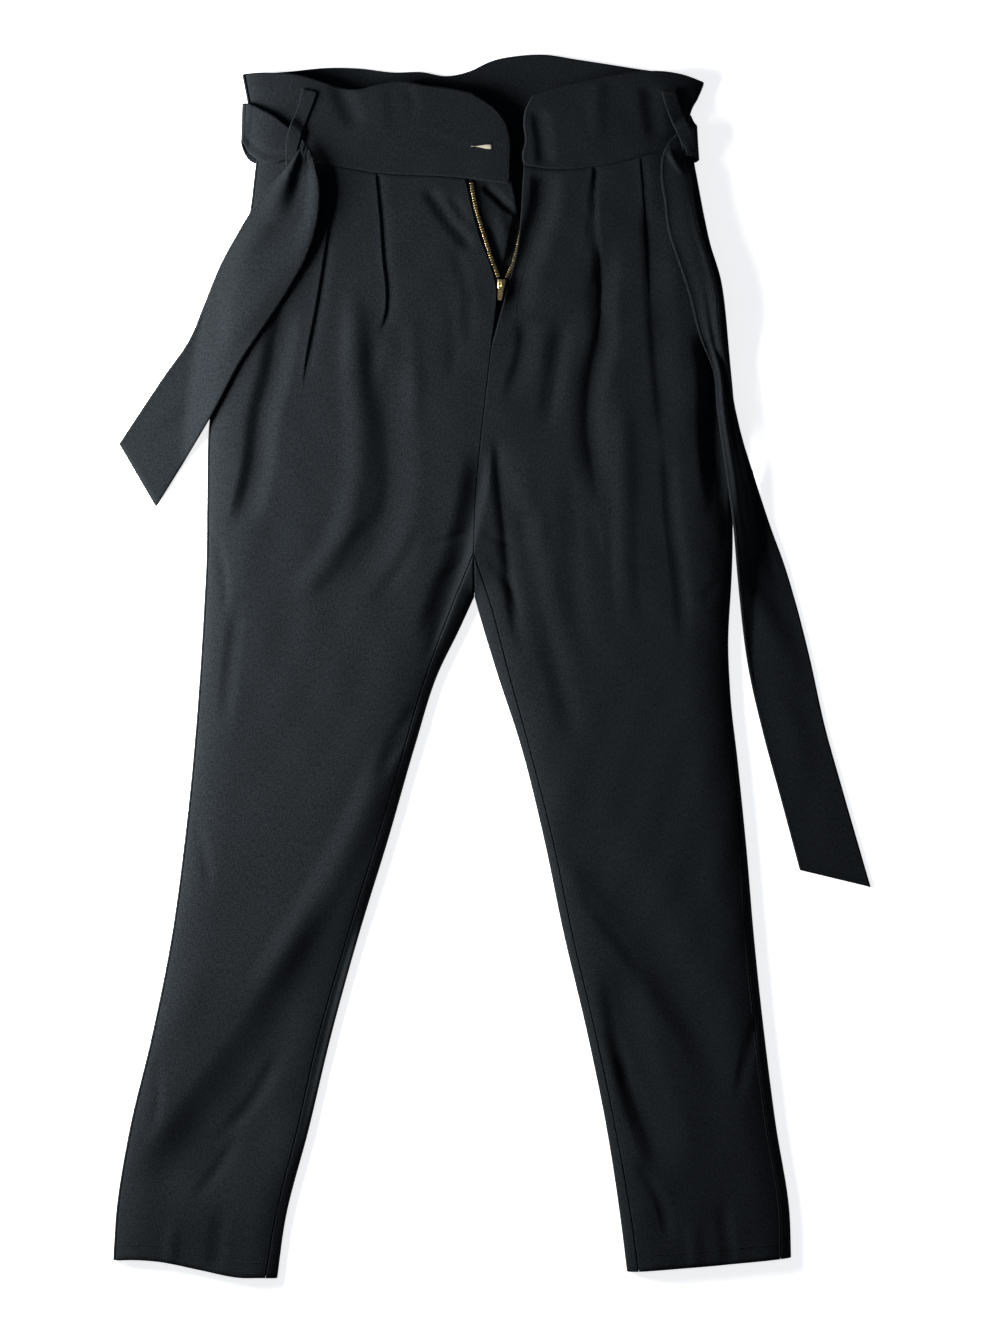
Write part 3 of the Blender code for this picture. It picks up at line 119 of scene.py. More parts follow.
sky = bpy.data.worlds.new("pale_sky")
sky.use_nodes = True
background = sky.node_tree.nodes["Background"]
background.inputs["Color"].default_value = SKY_COLOUR
background.inputs["Strength"].default_value = SKY_STRENGTH
bpy.context.scene.world = sky
bpy.context.scene.view_settings.view_transform = "Standard"
print("lamps", [row.name for row in LAMPS])

# %% [markdown]
# ## Finishes
# Crepe is matt because its tightly twisted yarns pebble the surface, and a little
# light catches the fibre ends at a shallow angle. That is a rough surface with a
# weak sheen. The pebbles are drawn about twice their real size, because the real ones
# would vanish between the picture's points. Colour, roughness and relief all come
# from noise that follows the cloth's own map, so the grain turns with the belt.

# %% Helpers for finishes
MM = 0.001


def linear(colour):
    """A screen colour such as #1f2426 as the linear values that a shader takes."""
    parts = [int(colour[i:i + 2], 16) / 255 for i in (1, 3, 5)]
    return tuple(part / 12.92 if part <= 0.04045 else ((part + 0.055) / 1.055) ** 2.4
                 for part in parts) + (1.0,)


def add_node(tree, kind, settings=None, values=None, links=None):
    """A shader node with its settings, its socket values and what is linked into it."""
    node = tree.nodes.new(kind)
    for name, value in (settings or {}).items():
        setattr(node, name, value)
    for name, value in (values or {}).items():
        node.inputs[name].default_value = value
    for name, socket in (links or {}).items():
        tree.links.new(socket, node.inputs[name])
    return node


def grain(tree, coordinates, pitch, detail):
    """Noise whose lumps are pitch millimetres across, apart for the two directions."""
    across, along_it = (1 / (width * MM) for width in pitch)
    spread = add_node(tree, "ShaderNodeMapping", values={"Scale": (across, along_it, across)},
                      links={"Vector": coordinates})
    return add_node(tree, "ShaderNodeTexNoise",
                    values={"Scale": 1.0, "Detail": detail, "Roughness": 0.6},
                    links={"Vector": spread.outputs["Vector"]}).outputs["Fac"]


def new_finish(name, values):
    """A new material with its shader, its node tree and the values that don't vary."""
    finish = bpy.data.materials.new(name)
    finish.use_nodes = True
    shader = finish.node_tree.nodes["Principled BSDF"]
    for socket, value in values.items():
        shader.inputs[socket].default_value = value
    return finish, shader, finish.node_tree


def surfaced(tree, shader, pattern, colours, ends, relief, strength, depth):
    """Colours a finish by a pattern, from one end to the other, and lays fine relief on it.

    ends: where in the pattern the two colours are reached. depth: in millimetres.
    """
    ramp = add_node(tree, "ShaderNodeValToRGB", links={"Fac": pattern})
    for element, colour, end in zip(ramp.color_ramp.elements, colours, ends):
        element.position = end
        element.color = linear(colour)
    bump = add_node(tree, "ShaderNodeBump", values={"Strength": strength, "Distance": depth * MM},
                    links={"Height": relief})
    tree.links.new(ramp.outputs["Color"], shader.inputs["Base Color"])
    tree.links.new(bump.outputs["Normal"], shader.inputs["Normal"])

# %% Cloth, tape and interlining
SLUB_SHARE = 0.28
ROUGH_SPREAD = 0.06
WEAVE_ENDS = (0.32, 0.68)
WEAVE_BUMP = 0.55


def woven(name, colours, pebble, slub, depth, rough, sheen, sheen_tint):
    """A matt woven finish: pebbles, long slubs along the warp and a weak sheen."""
    finish, shader, tree = new_finish(name, {
        "Sheen Weight": sheen, "Sheen Roughness": 0.5, "Sheen Tint": linear(sheen_tint),
        "Specular IOR Level": 0.02})
    place = add_node(tree, "ShaderNodeUVMap", {"uv_map": "cloth"}).outputs["UV"]
    pebbles = grain(tree, place, (pebble, pebble), 2.0)
    slubs = grain(tree, place, slub, 1.0)
    mixed = add_node(tree, "ShaderNodeMix", {"data_type": "FLOAT"}, {"Factor": SLUB_SHARE},
                     {"A": pebbles, "B": slubs}).outputs["Result"]
    surfaced(tree, shader, mixed, colours, WEAVE_ENDS, mixed, WEAVE_BUMP, depth)
    spread = add_node(tree, "ShaderNodeMapRange", links={"Value": pebbles}, values={
        "To Min": rough - ROUGH_SPREAD, "To Max": min(1.0, rough + ROUGH_SPREAD)})
    tree.links.new(spread.outputs["Result"], shader.inputs["Roughness"])
    return finish


# Pebbles, slubs and depth in millimetres
BLACK_CREPE = woven("black_crepe_woven", ("#0b0c0e", "#202427"), pebble=1.3, slub=(1.2, 4.5),
                    depth=0.46, rough=0.93, sheen=0.02, sheen_tint="#aebdcc")
BLACK_TAPE = woven("black_zip_tape_woven", ("#101114", "#1d1f23"), pebble=0.8, slub=(0.9, 0.9),
                   depth=0.18, rough=0.8, sheen=0.05, sheen_tint="#8f98a3")
PALE_INTERLINING = woven("pale_interlining_pressed", ("#9c9686", "#c4beac"), pebble=0.9,
                         slub=(0.9, 3.0), depth=0.12, rough=0.9, sheen=0.0,
                         sheen_tint="#ffffff")
print("woven finishes", BLACK_CREPE.name, BLACK_TAPE.name, PALE_INTERLINING.name)

# %% [markdown]
# The zip's teeth, slider and pull are cast and plated pale gold. Plated metal is a full
# metal with a coloured reflection, and handling leaves it finely and unevenly dulled.
# The thread is spun and about as dark as the cloth, but a little glossier, so that the
# stitches catch the light. The table is painted. All three read Object coordinates.

# %% Plated metal, thread and table
# Sizes of worn patches, scratches and lumps in millimetres
WORN_PITCH = (1.6, 1.6)
WORN_ENDS = (0.3, 0.7)
WORN_LESS, WORN_MORE = 0.08, 0.12
SCRATCH_PITCH = (0.2, 1.2)
SCRATCH_BUMP = 0.15
SCRATCH_DEPTH = 0.03
LUMP_ENDS = (0.35, 0.65)
LUMP_BUMP = 0.3


def plated(name, colours, rough):
    """Plated metal, dulled unevenly by handling, with fine scratches along it."""
    finish, shader, tree = new_finish(name, {"Metallic": 1.0})
    place = add_node(tree, "ShaderNodeTexCoord").outputs["Object"]
    worn = grain(tree, place, WORN_PITCH, 3.0)
    scratches = grain(tree, place, SCRATCH_PITCH, 1.0)
    surfaced(tree, shader, worn, colours, WORN_ENDS, scratches, SCRATCH_BUMP, SCRATCH_DEPTH)
    spread = add_node(tree, "ShaderNodeMapRange", links={"Value": worn},
                      values={"To Min": rough - WORN_LESS, "To Max": rough + WORN_MORE})
    tree.links.new(spread.outputs["Result"], shader.inputs["Roughness"])
    return finish


def lumpy(name, colours, pitch, depth, rough, shine):
    """An even finish with small lumps: spun thread, or a painted table."""
    finish, shader, tree = new_finish(name, {"Roughness": rough, "Specular IOR Level": shine})
    place = add_node(tree, "ShaderNodeTexCoord").outputs["Object"]
    lumps = grain(tree, place, (pitch, pitch), 3.0)
    surfaced(tree, shader, lumps, colours, LUMP_ENDS, lumps, LUMP_BUMP, depth)
    return finish


PALE_GOLD = plated("pale_gold_plated", ("#d8b16a", "#f0d7a2"), rough=0.26)
BLACK_THREAD = lumpy("black_thread_spun", ("#0a0c0e", "#171a1d"), pitch=0.4, depth=0.05,
                     rough=0.75, shine=0.12)
WHITE_TABLE = lumpy("white_table_painted", ("#f4f4f3", "#f6f6f5"), pitch=4.0, depth=0.01,
                    rough=0.7, shine=0.5)
print("other finishes", PALE_GOLD.name, BLACK_THREAD.name, WHITE_TABLE.name)

# %% [markdown]
# ## Table
# A plain pale table, so that only the garment is looked at. It is a plane much wider
# than the picture, and it isn't part of the garment.
# It glows a little by itself, as a light table does. The cloth can then be lit softly
# from one side, and the table stays white out to the corners of the picture.

# %% The table
TABLE_SIDE = 24.0
TABLE_GLOW = 0.8

bpy.ops.mesh.primitive_plane_add(size=TABLE_SIDE, location=(0.0, 0.0, 0.0))
table = bpy.context.active_object
table.name = "table"
table.data.materials.append(WHITE_TABLE)
table_shader = WHITE_TABLE.node_tree.nodes["Principled BSDF"]
table_shader.inputs["Emission Color"].default_value = linear("#ffffff")
table_shader.inputs["Emission Strength"].default_value = TABLE_GLOW
print("table", [round(side, 1) for side in table.dimensions], "m")

# %% [markdown]
# ## Smooth lines from a few numbers
# A pattern maker marks a few points and draws a smooth line through them. These
# helpers do the same: a smooth curve through values, a line through points, and the
# distance of any place from a line with the side that it lies on. Arrays are used
# throughout, so that a panel of twenty thousand points takes a second.

# %% Curves
def curve(knots, values, at):
    """Smooth curve through values at rising knots, read at one or many places."""
    knots = np.asarray(knots, float)
    values = np.asarray(values, float)
    at = np.asarray(at, float)
    step = np.diff(knots)
    slope = np.diff(values) / step
    lean = np.empty_like(values)
    lean[0] = slope[0]
    lean[-1] = slope[-1]
    lean[1:-1] = (slope[:-1] * step[1:] + slope[1:] * step[:-1]) / (step[:-1] + step[1:])
    cell = np.clip(np.searchsorted(knots, at, side="right") - 1, 0, len(step) - 1)
    width = step[cell]
    t = np.clip((at - knots[cell]) / width, 0.0, 1.0)
    start = values[cell] * (1 + 2 * t) * (1 - t) ** 2 + values[cell + 1] * t * t * (3 - 2 * t)
    bend = lean[cell] * width * t * (1 - t) ** 2 - lean[cell + 1] * width * t * t * (1 - t)
    return start + bend


def ease(low, high, at):
    """0 below low, 1 above high and a soft step between."""
    t = np.clip((np.asarray(at, float) - low) / (high - low), 0.0, 1.0)
    return t * t * (3 - 2 * t)


def along(points, at):
    """A smooth line y(x) through points with rising x."""
    xs, ys = zip(*points)
    return curve(xs, ys, at)


def chord_knots(points):
    """Distance from the first point to each point, along the straight pieces."""
    points = np.asarray(points, float)
    return np.concatenate(([0.0], np.cumsum(np.linalg.norm(np.diff(points, axis=0), axis=1))))


def line_through(points, step):
    """Points every step or so on the smooth line through a few given points."""
    points = np.asarray(points, float)
    knots = chord_knots(points)
    count = max(2, int(math.ceil(knots[-1] / step)) + 1)
    at = np.linspace(0.0, knots[-1], count)
    return np.stack([curve(knots, points[:, axis], at) for axis in range(points.shape[1])], 1)


def nearest_on(x, y, line):
    """Distance to a line of points, the part of its length there and the side."""
    x = np.asarray(x, float)
    y = np.asarray(y, float)
    length = chord_knots(line)
    best = np.full(x.shape, np.inf)
    place = np.zeros(x.shape)
    side = np.zeros(x.shape)
    for start, end, passed in zip(line[:-1], line[1:], length[:-1]):
        run = end - start
        reach = math.hypot(run[0], run[1])
        t = np.clip(((x - start[0]) * run[0] + (y - start[1]) * run[1]) / reach ** 2, 0, 1)
        dx = x - start[0] - t * run[0]
        dy = y - start[1] - t * run[1]
        distance = np.hypot(dx, dy)
        closer = distance < best
        best = np.where(closer, distance, best)
        place = np.where(closer, passed + t * reach, place)
        side = np.where(closer, run[0] * dy - run[1] * dx, side)
    return best, place, np.sign(side)


def columns_at(table, knots, at):
    """Each column of a table of rows, read on its smooth curve."""
    return [curve(knots, column, at) for column in np.array(table, float).T]


def divided(knots, counts):
    """Rising places with a number of even steps between each two knots."""
    at = [knots[0]]
    for low, high, count in zip(knots[:-1], knots[1:], counts):
        at.extend(low + (high - low) * (i + 1) / count for i in range(count))
    return np.array(at)


print("curve at 0.5:", float(curve((0, 1), (0, 1), 0.5)))

# %% [markdown]
# ## How the trousers lie
# The back lies on the table. The front stands off it on a cushion of air, highest in
# the middle of each leg and rounded off towards the sides. Sections across each half
# give the silhouette, the seams and the fold of the inner leg. They are the CAD
# model's own numbers, so that the shells lie in the space that its solids hold.

# %% Walls and heights
# How thick each kind of piece is, and the gap at the seams
PANEL_WALL = 1.2
BAND_WALL = 1.8
BELT_WALL = 1.6
LOOP_WALL = 1.2
TAPE_WALL = 1.0
SHIELD_WALL = 1.2
GAP = 0.3

# Where the back rests, and how front and back meet at the sides
FLOOR_REST = PANEL_WALL / 2
BAND_REST = BELT_WALL + GAP + BAND_WALL / 2
BAND_RISE_FROM = 385.0
BAND_RISE_TO = 422.0
SIDE_LIFT = 2.5
CURL = 4.0
ROUND_PER_LOFT = 2.8
SIDE_SEAM_IN = 1.5

# Height of the front over the floor, from the hems up to the waistband's top
Loft = namedtuple("Loft", "y height")
LOFTS = (
    Loft(-522, 9.5),
    Loft(-330, 11.5),
    Loft(-60, 13),
    Loft(150, 14),
    Loft(330, 15),
    Loft(430, 16),
    Loft(522, 17.5),
)
print("front stands", [row.height for row in LOFTS], "mm over the table")

# %% Sections of the two halves
# outer: the silhouette. seam: the centre or inner leg seam. fold: the inner leg's fold.
# wrap: how far the outer leg seam lies inside the silhouette.
Section = namedtuple("Section", "name outer_x outer_y seam_x seam_y fold_x fold_y wrap",
                     defaults=(SIDE_SEAM_IN,))
LEFT_SECTIONS = (
    Section("waist", -200.5, 433, -22.5, 414, -12, 423.5),
    Section("zip middle", -208, 377.5, -11.5, 369, -12, 372.5),
    Section("slider", -222, 320, 3.5, 323, -12, 321.5),
    Section("bartack", -234.5, 260.5, -0.5, 271.5, -12, 267),
    Section("hip", -241.5, 201, -6.5, 219.5, -12, 211),
    Section("seat", -243, 133, -13, 156.5, -13, 143),
    Section("crotch", -244.5, 70, -15.5, 96, -15, 59.5),
    Section("fork", -247, 25.5, -34, 51, -28, 31),
    Section("top of thigh", -250, -20, -54.5, -3, -45.5, -5),
    Section("thigh", -255, -81.5, -74, -67, -65, -66),
    Section("above knee", -263, -156, -98, -147.5, -88, -146),
    Section("knee", -273.5, -232.5, -123, -229.5, -113, -227.5),
    Section("calf", -290.5, -317.5, -148, -316, -137, -314.5),
    Section("low calf", -308.5, -392.5, -166.5, -397.5, -156.5, -396),
    Section("ankle", -320, -462, -185, -472.5, -176, -471.5),
    Section("hem", -323, -506.5, -193, -521, -183, -521.5),
)
RIGHT_SECTIONS = (
    Section("waist", 170, 440.5, 27, 425, -12, 423.5),
    Section("zip middle", 184.5, 366.5, 22.5, 362.5, -12, 372.5),
    Section("slider", 196, 325.5, 14, 325, -12, 321.5),
    Section("bartack", 202.5, 264.5, -0.5, 271.5, -12, 267),
    Section("hip", 207.5, 202.5, -6.5, 219.5, -12, 211),
    Section("seat", 205.5, 134.5, -13, 156.5, -13, 143),
    Section("crotch", 204, 70, -15.5, 96, -15, 59.5),
    Section("fork", 201.5, 25.5, -1, 53, -7, 31),
    Section("top of thigh", 203, -20, 13.5, -1.5, 4, -5),
    Section("thigh", 209.5, -81.5, 31.5, -67, 24, -66, 3),
    Section("above knee", 217, -156, 52, -147.5, 44, -146, 5),
    Section("knee", 223.5, -232.5, 69, -229.5, 61, -227.5, 7),
    Section("calf", 232, -312.5, 89, -314.5, 81.5, -314.5, 7.5),
    Section("low calf", 242, -391, 105.5, -394, 98, -396, 8),
    Section("ankle", 253.5, -464, 119, -470.5, 109.5, -471.5, 8),
    Section("hem", 255, -504, 125, -515.5, 115, -516, 9),
)
# Rows of both tables at which something changes
BARTACK = 3
CROTCH = 6
THIGH = 8
print("sections", len(LEFT_SECTIONS), "left,", len(RIGHT_SECTIONS), "right")

# %% [markdown]
# The waistband is cut apart from the legs. Its seam dips in the middle, its top edge
# waves where the paperbag top falls in folds, and the back's top edge stands higher
# than the front's, so that the inside of the back shows between them.

# %% Waist and hem lines
# The waistband's side edges, top to waist seam
LEFT_BAND_SIDE = ((-212.5, 504), (-208, 480), (-203.5, 456))
RIGHT_BAND_SIDE = ((180, 495), (176, 484), (168.5, 468.5), (168.5, 451.5))

# The waist seam, and the top edges of the three waistband pieces
LEFT_SEAM = ((-201, 433), (-143, 426), (-96, 418.5), (-33, 415), (16, 409))
RIGHT_SEAM = ((25, 425.5), (43.5, 422.5), (108, 427.5), (144.5, 437), (170, 440.5))
BACK_SEAM = ((-201, 433), (-12, 423.5), (170, 440.5))
LEFT_TOP = ((-212.5, 504), (-188.5, 504), (-166, 502), (-146, 496.5), (-131, 491.5),
            (-114, 489.5), (-98, 493), (-78, 496.5), (-57, 493), (-33, 490), (-18, 486.8),
            (16, 483.5))
RIGHT_TOP = ((26, 483), (40, 485.5), (65.5, 493), (92.5, 499), (118, 503.5), (145, 505),
             (162.5, 502.5), (180, 497))
BACK_TOP = ((-212.5, 504), (-166, 507.5), (-148, 509.5), (-114, 509.5), (-82.5, 506),
            (-61, 506.5), (-37.5, 503), (-18, 507.5), (-2.5, 515), (24.5, 520.5), (43.5, 521.3),
            (73, 517), (118, 510), (162.5, 502.5), (180, 497))

# The hem's slow wave: rise along X, from the outer leg seam in
LEFT_HEM = ((-323, 0), (-305, 3), (-286, 4), (-250, 1), (-215, -2), (-193, 0), (-183, 0))
RIGHT_HEM = ((115, 0), (185, -0.5), (255, 0))
HEM_WAVE_REACH = 60.0

# How far each front waistband piece reaches at a height, 0 at the seam, 1 at the top
Reach = namedtuple("Reach", "height x")
LEFT_END = (Reach(0, 15.5), Reach(0.25, 16), Reach(0.55, 15.5), Reach(0.75, 9.5),
            Reach(0.9, -2.5), Reach(1, -18))
RIGHT_END = (Reach(0, 27), Reach(0.1, 25.5), Reach(0.36, 28), Reach(0.62, 26.5),
             Reach(0.8, 28), Reach(1, 34))
print("waist seam left", LEFT_SEAM[0], "to", LEFT_SEAM[-1])

# %% Rows of points from the sections
OUTLINE_STEP = 8.0
# The columns of an array of rows
OUTER, SEAM, FOLD = slice(0, 2), slice(2, 4), slice(4, 6)
FOLD_Y, WRAP = 5, 6


def cornered(knots, values, corners, at):
    """A smooth curve that may turn sharply at some of its knots."""
    result = np.zeros(len(at))
    for first, last in zip((0,) + corners, corners + (len(knots) - 1,)):
        part = (at >= knots[first]) & (at <= knots[last])
        piece = slice(first, last + 1)
        result[part] = curve(knots[piece], values[piece], at[part])
    return result


def row_counts(sections, steps):
    """How many mesh rows each stretch between two sections is divided in."""
    knots = [-row.fold_y for row in sections]
    return [max(1, int(round((high - low) / (steps[0] if number < THIGH else steps[1]))))
            for number, (low, high) in enumerate(zip(knots[:-1], knots[1:]))]


def row_of(sections, index, steps):
    """Number of the mesh row that lies on a section."""
    return sum(row_counts(sections, steps)[:index])


def section_rows(sections, steps):
    """The sections and smooth rows between them, as an array of their columns."""
    columns = np.array([row[1:] for row in sections], float)
    knots = -columns[:, FOLD_Y]
    at = divided(knots, row_counts(sections, steps))
    outer = [curve(knots, columns[:, i], at) for i in (0, 1)]
    inner = [cornered(knots, columns[:, i], (BARTACK, CROTCH), at) for i in (2, 3, 4, 5)]
    return np.stack(outer + inner + [curve(knots, columns[:, WRAP], at)], 1)


def outline_of(sections, first, columns):
    """The smooth line through two columns of the sections, from one section down."""
    steps = (OUTLINE_STEP, OUTLINE_STEP)
    return section_rows(sections, steps)[row_of(sections, first, steps):, columns]


def silhouette(sections, band_side, inward):
    """The outer edge from the waist's top to the hem, moved inward by half a wall."""
    gap = (band_side[-1], sections[0][1:3])
    line = np.vstack((line_through(band_side, OUTLINE_STEP)[:-1],
                      line_through(gap, OUTLINE_STEP)[:-1], outline_of(sections, 0, OUTER)))
    line[:, 0] += inward * PANEL_WALL / 2
    return line


LEFT_SIDE = silhouette(LEFT_SECTIONS, LEFT_BAND_SIDE, 1.0)
RIGHT_SIDE = silhouette(RIGHT_SECTIONS, RIGHT_BAND_SIDE, -1.0)
LEFT_INNER = outline_of(LEFT_SECTIONS, CROTCH, FOLD)
RIGHT_INNER = outline_of(RIGHT_SECTIONS, CROTCH, FOLD)
print("left silhouette has", len(LEFT_SIDE), "points, right", len(RIGHT_SIDE))

# %% [markdown]
# ## Folds
# The large folds are soft troughs, a few of them ridges, each along its own path. One
# row of the table is one fold: its depth, how wide it is on either side of the path,
# how gently it starts and ends, and where it runs. They differ in every number,
# because real folds do. Pleats are another kind: pressed edges that lap over, with a
# sharp drop on one side and a slow rise away from it.

# %% Soft folds of the front
Fold = namedtuple("Fold", "name depth near far start end path")
SOFT_FOLDS = (
    Fold("left hip trough", 4.3, 12, 20, 30, 40,
         ((-176, 311.5), (-181.5, 285), (-188, 248.5), (-197, 214.5), (-202.5, 170),
          (-217.5, 110.5))),
    Fold("left thigh ridge", -2.2, 16, 14, 30, 30,
         ((-114, 310), (-115, 248.5), (-115, 150), (-137, 92), (-171, 55.5))),
    Fold("left thigh trough", 3, 16, 26, 40, 40,
         ((-95, 270), (-90, 222), (-88, 140), (-98, 108), (-132, 66.5))),
    Fold("left inseam hollow", 4.5, 16, 10, 40, 40,
         ((-8.5, 191), (-12, 157.5), (-20, 118.5), (-29, 84.5), (-42, 53), (-55, 10))),
    Fold("left leg trough", 5.2, 34, 95, 60, 70,
         ((-118, -196), (-160, -276), (-198, -334), (-227, -372), (-250, -404), (-270, -430),
          (-286, -466))),
    Fold("right fly trough", 4, 11, 20, 8, 30,
         ((42, 420), (40.5, 393), (34.5, 372), (28.5, 352), (22.5, 333), (19.5, 314), (16.5, 301),
          (18, 290))),
    Fold("right fly foot", 1.7, 8, 16, 12, 34,
         ((25, 296), (27, 280), (24, 260), (17, 238), (12, 218))),
    Fold("right pleat trough", 3, 9, 18, 60, 60,
         ((97, 372), (93.5, 340), (91, 312), (91.5, 278), (85.5, 252), (82, 226), (82, 196),
          (88, 160), (94, 130))),
    Fold("right pleat shadow 2", 1.5, 8, 22, 30, 70,
         ((131, 400), (134, 350), (137, 300), (142, 240), (150, 170))),
    Fold("right crotch trough", 1.6, 9, 26, 50, 60,
         ((2, 205), (6, 160), (10, 118.5), (13, 84.5), (20, 40), (34, 0))),
    Fold("right small trough", 2.6, 7, 14, 26, 34,
         ((60, 300), (55, 274), (51, 244), (48, 226), (44, 195))),
    Fold("right side groove", 5, 8, 9, 20, 30,
         ((171, 418), (174, 398), (184, 348), (192, 306), (198, 272))),
    Fold("right pocket hollow", 6.4, 15, 16, 22, 60,
         ((180, 288), (187, 255), (188, 225), (188, 196), (191, 160), (196, 120))),
    Fold("right leg trough", 3, 14, 34, 50, 50,
         ((96, -250), (112, -330), (134, -400), (150, -440))),
    Fold("left band dent", 1.7, 12, 12, 8, 12, ((-132, 500), (-124, 478), (-112, 455))),
    Fold("right band dent", 1.6, 10, 12, 8, 12, ((132, 495), (135, 470), (140, 445))),
    Fold("left leg ridge", -2, 17, 20, 60, 70,
         ((-84, -60), (-112, -130), (-150, -200), (-186, -256), (-216, -300))),
    Fold("right leg diagonal", 3, 22, 44, 60, 80,
         ((47, -112), (92, -182), (135, -248), (176, -312), (210, -370))),
    Fold("right inner trough", 1.8, 10, 16, 60, 70, ((12, 170), (30, 90), (50, 10), (74, -78))),
    Fold("right calf diagonal", 1.6, 8, 12, 30, 40, ((94.5, -302), (118, -358), (142, -417))),
    Fold("zip crease", 2.4, 6, 9, 10, 12,
         ((-58, 406), (-47, 392), (-36, 376), (-24, 362), (-16, 352))),
    Fold("zip crease 2", 1.5, 5.5, 7, 8, 10, ((-36, 400), (-27, 386), (-20, 374))),
    Fold("hip crease", 1, 4, 6, 15, 25, ((-33, 354.5), (-23, 326.5), (-20, 285), (-23, 262))),
    Fold("fly side crease", 0.8, 4, 8, 25, 30, ((-40, 318), (-34, 282), (-36, 236))),
    Fold("below left pleat 1", 1.3, 9, 12, 18, 40, ((-97, 284), (-104, 255), (-101, 212))),
    Fold("between left pleats", -1.1, 11, 12, 30, 45, ((-118, 330), (-119, 280), (-126, 226))),
    Fold("left hip ridge", -1, 9, 10, 25, 40, ((-70, 300), (-66, 255), (-66, 196))),
    Fold("left thigh crease", 1.3, 8, 12, 20, 35, ((-96, 134), (-118, 104), (-146, 80))),
    Fold("left thigh crease 2", 0.9, 7, 9, 20, 30, ((-60, 120), (-78, 84), (-104, 52))),
    Fold("left outer crease", 1, 5, 7, 18, 22, ((-241.5, 118), (-231, 92), (-225.5, 40))),
    Fold("left outer thigh", 1.1, 9, 10, 35, 40, ((-214, 62), (-222, 4), (-229, -62))),
    Fold("left knee side", 0.9, 7, 9, 20, 25, ((-260, -118), (-247, -152), (-239, -196))),
    Fold("left knee inside", 1.2, 7, 9, 15, 30, ((-62, -28), (-84, -64), (-99, -108))),
    Fold("left inseam pucker", 0.8, 4, 5, 6, 9, ((-72, -56), (-80, -70), (-92, -80))),
    Fold("left calf crease", 1.3, 8, 10, 30, 40, ((-178, -322), (-205, -372), (-240, -410))),
    Fold("left ankle crease", 1, 7, 9, 20, 30, ((-214, -396), (-238, -434), (-258, -458))),
    Fold("left hem wave", 1, 12, 10, 25, 8, ((-228, -456), (-233, -488), (-236, -515))),
    Fold("left hem wave 2", -0.9, 9, 9, 20, 8, ((-270, -468), (-273, -492), (-274, -512))),
    Fold("left outer calf", 1, 6, 8, 20, 30, ((-289, -330), (-284, -365), (-291, -402))),
    Fold("left fork fan 1", 1.1, 4, 6, 7, 30, ((-20, 98), (-38, 78), (-60, 64))),
    Fold("left fork fan 2", 0.9, 4, 7, 8, 32, ((-18, 118), (-42, 106), (-70, 101))),
    Fold("left fork fan 3", 0.9, 5, 6, 10, 30, ((-32, 62), (-46, 32), (-62, -6))),
    Fold("right crotch crease", 1.2, 5.5, 8, 20, 30,
         ((3.5, 196.5), (7, 150), (11, 118.5), (13.5, 84.5), (18.5, 45), (21, 22.5))),
    Fold("right crease 2", 1.4, 5.5, 6.5, 12, 20, ((26.5, 138.5), (34.5, 105), (41, 76.5))),
    Fold("right crease 3", -0.9, 5, 6, 20, 30, ((24, 170), (33, 128), (46, 84), (52, 40))),
    Fold("right side crease", 1.5, 5, 8, 20, 30, ((192, 172), (198, 130), (199, 84))),
    Fold("right thigh faint", 0.8, 5, 6, 12, 20, ((81, 150), (86, 120), (92, 90))),
    Fold("right side faint", 0.8, 5, 6, 8, 9, ((177.5, 56), (188, 65), (198, 71.5))),
    Fold("right thigh long", 1.3, 10, 13, 45, 65, ((64, 186), (68, 120), (70, 60), (82, -6))),
    Fold("right thigh ridge", -1.2, 12, 13, 40, 60,
         ((108, 240), (112, 170), (112, 90), (118, 20))),
    Fold("right thigh outer", 1.1, 8, 11, 35, 60, ((148, 196), (152, 128), (160, 64), (164, 2))),
    Fold("right knee diagonal", 1.2, 7, 10, 22, 30, ((70, -188), (98, -222), (132, -266))),
    Fold("right inseam trough", 1.7, 8, 10, 25, 30, ((105.5, -326), (116.5, -374), (131, -408))),
    Fold("right outer calf", 1, 6, 9, 20, 30, ((230, -286), (216, -330), (207, -374))),
    Fold("right ankle diagonal", 1.1, 6, 9, 18, 28, ((121, -420), (141, -452), (152, -494))),
    Fold("right hem wave", 0.9, 10, 9, 22, 8, ((196, -452), (200, -486), (203, -512))),
    Fold("right hem wave 2", -0.8, 9, 10, 20, 8, ((168, -470), (172, -494), (173, -514))),
    Fold("right fork fan 1", 1.1, 4, 6, 6, 26, ((-4, 92), (14, 68), (26, 36))),
    Fold("right fork fan 2", 0.9, 4, 6, 8, 28, ((-10, 116), (12, 104), (38, 100))),
    Fold("left band crease", 0.5, 7, 6, 8, 14, ((-72, 494), (-66, 476), (-70, 456))),
    Fold("left band ridge", -0.4, 9, 9, 8, 14, ((-98, 492), (-92, 470), (-94, 446))),
    Fold("buttonhole pull", 0.7, 4, 4, 10, 12, ((-58, 447), (-38, 444), (-20, 441))),
    Fold("right band crease", 2, 6, 14, 10, 8, ((36, 474), (40, 452), (42, 436), (42, 424))),
    Fold("right band ridge", -0.7, 10, 10, 8, 14, ((92, 498), (88, 474), (92, 446))),
)
print("soft folds", len(SOFT_FOLDS))

# %% [markdown]
# A pleat is two sharp folds in the cloth, sewn into the waist seam and left free lower
# down. Seen from the front, the upper layer ends in a crest, the cloth drops to the
# layer below, and it climbs back slowly. Both halves of this garment have two.

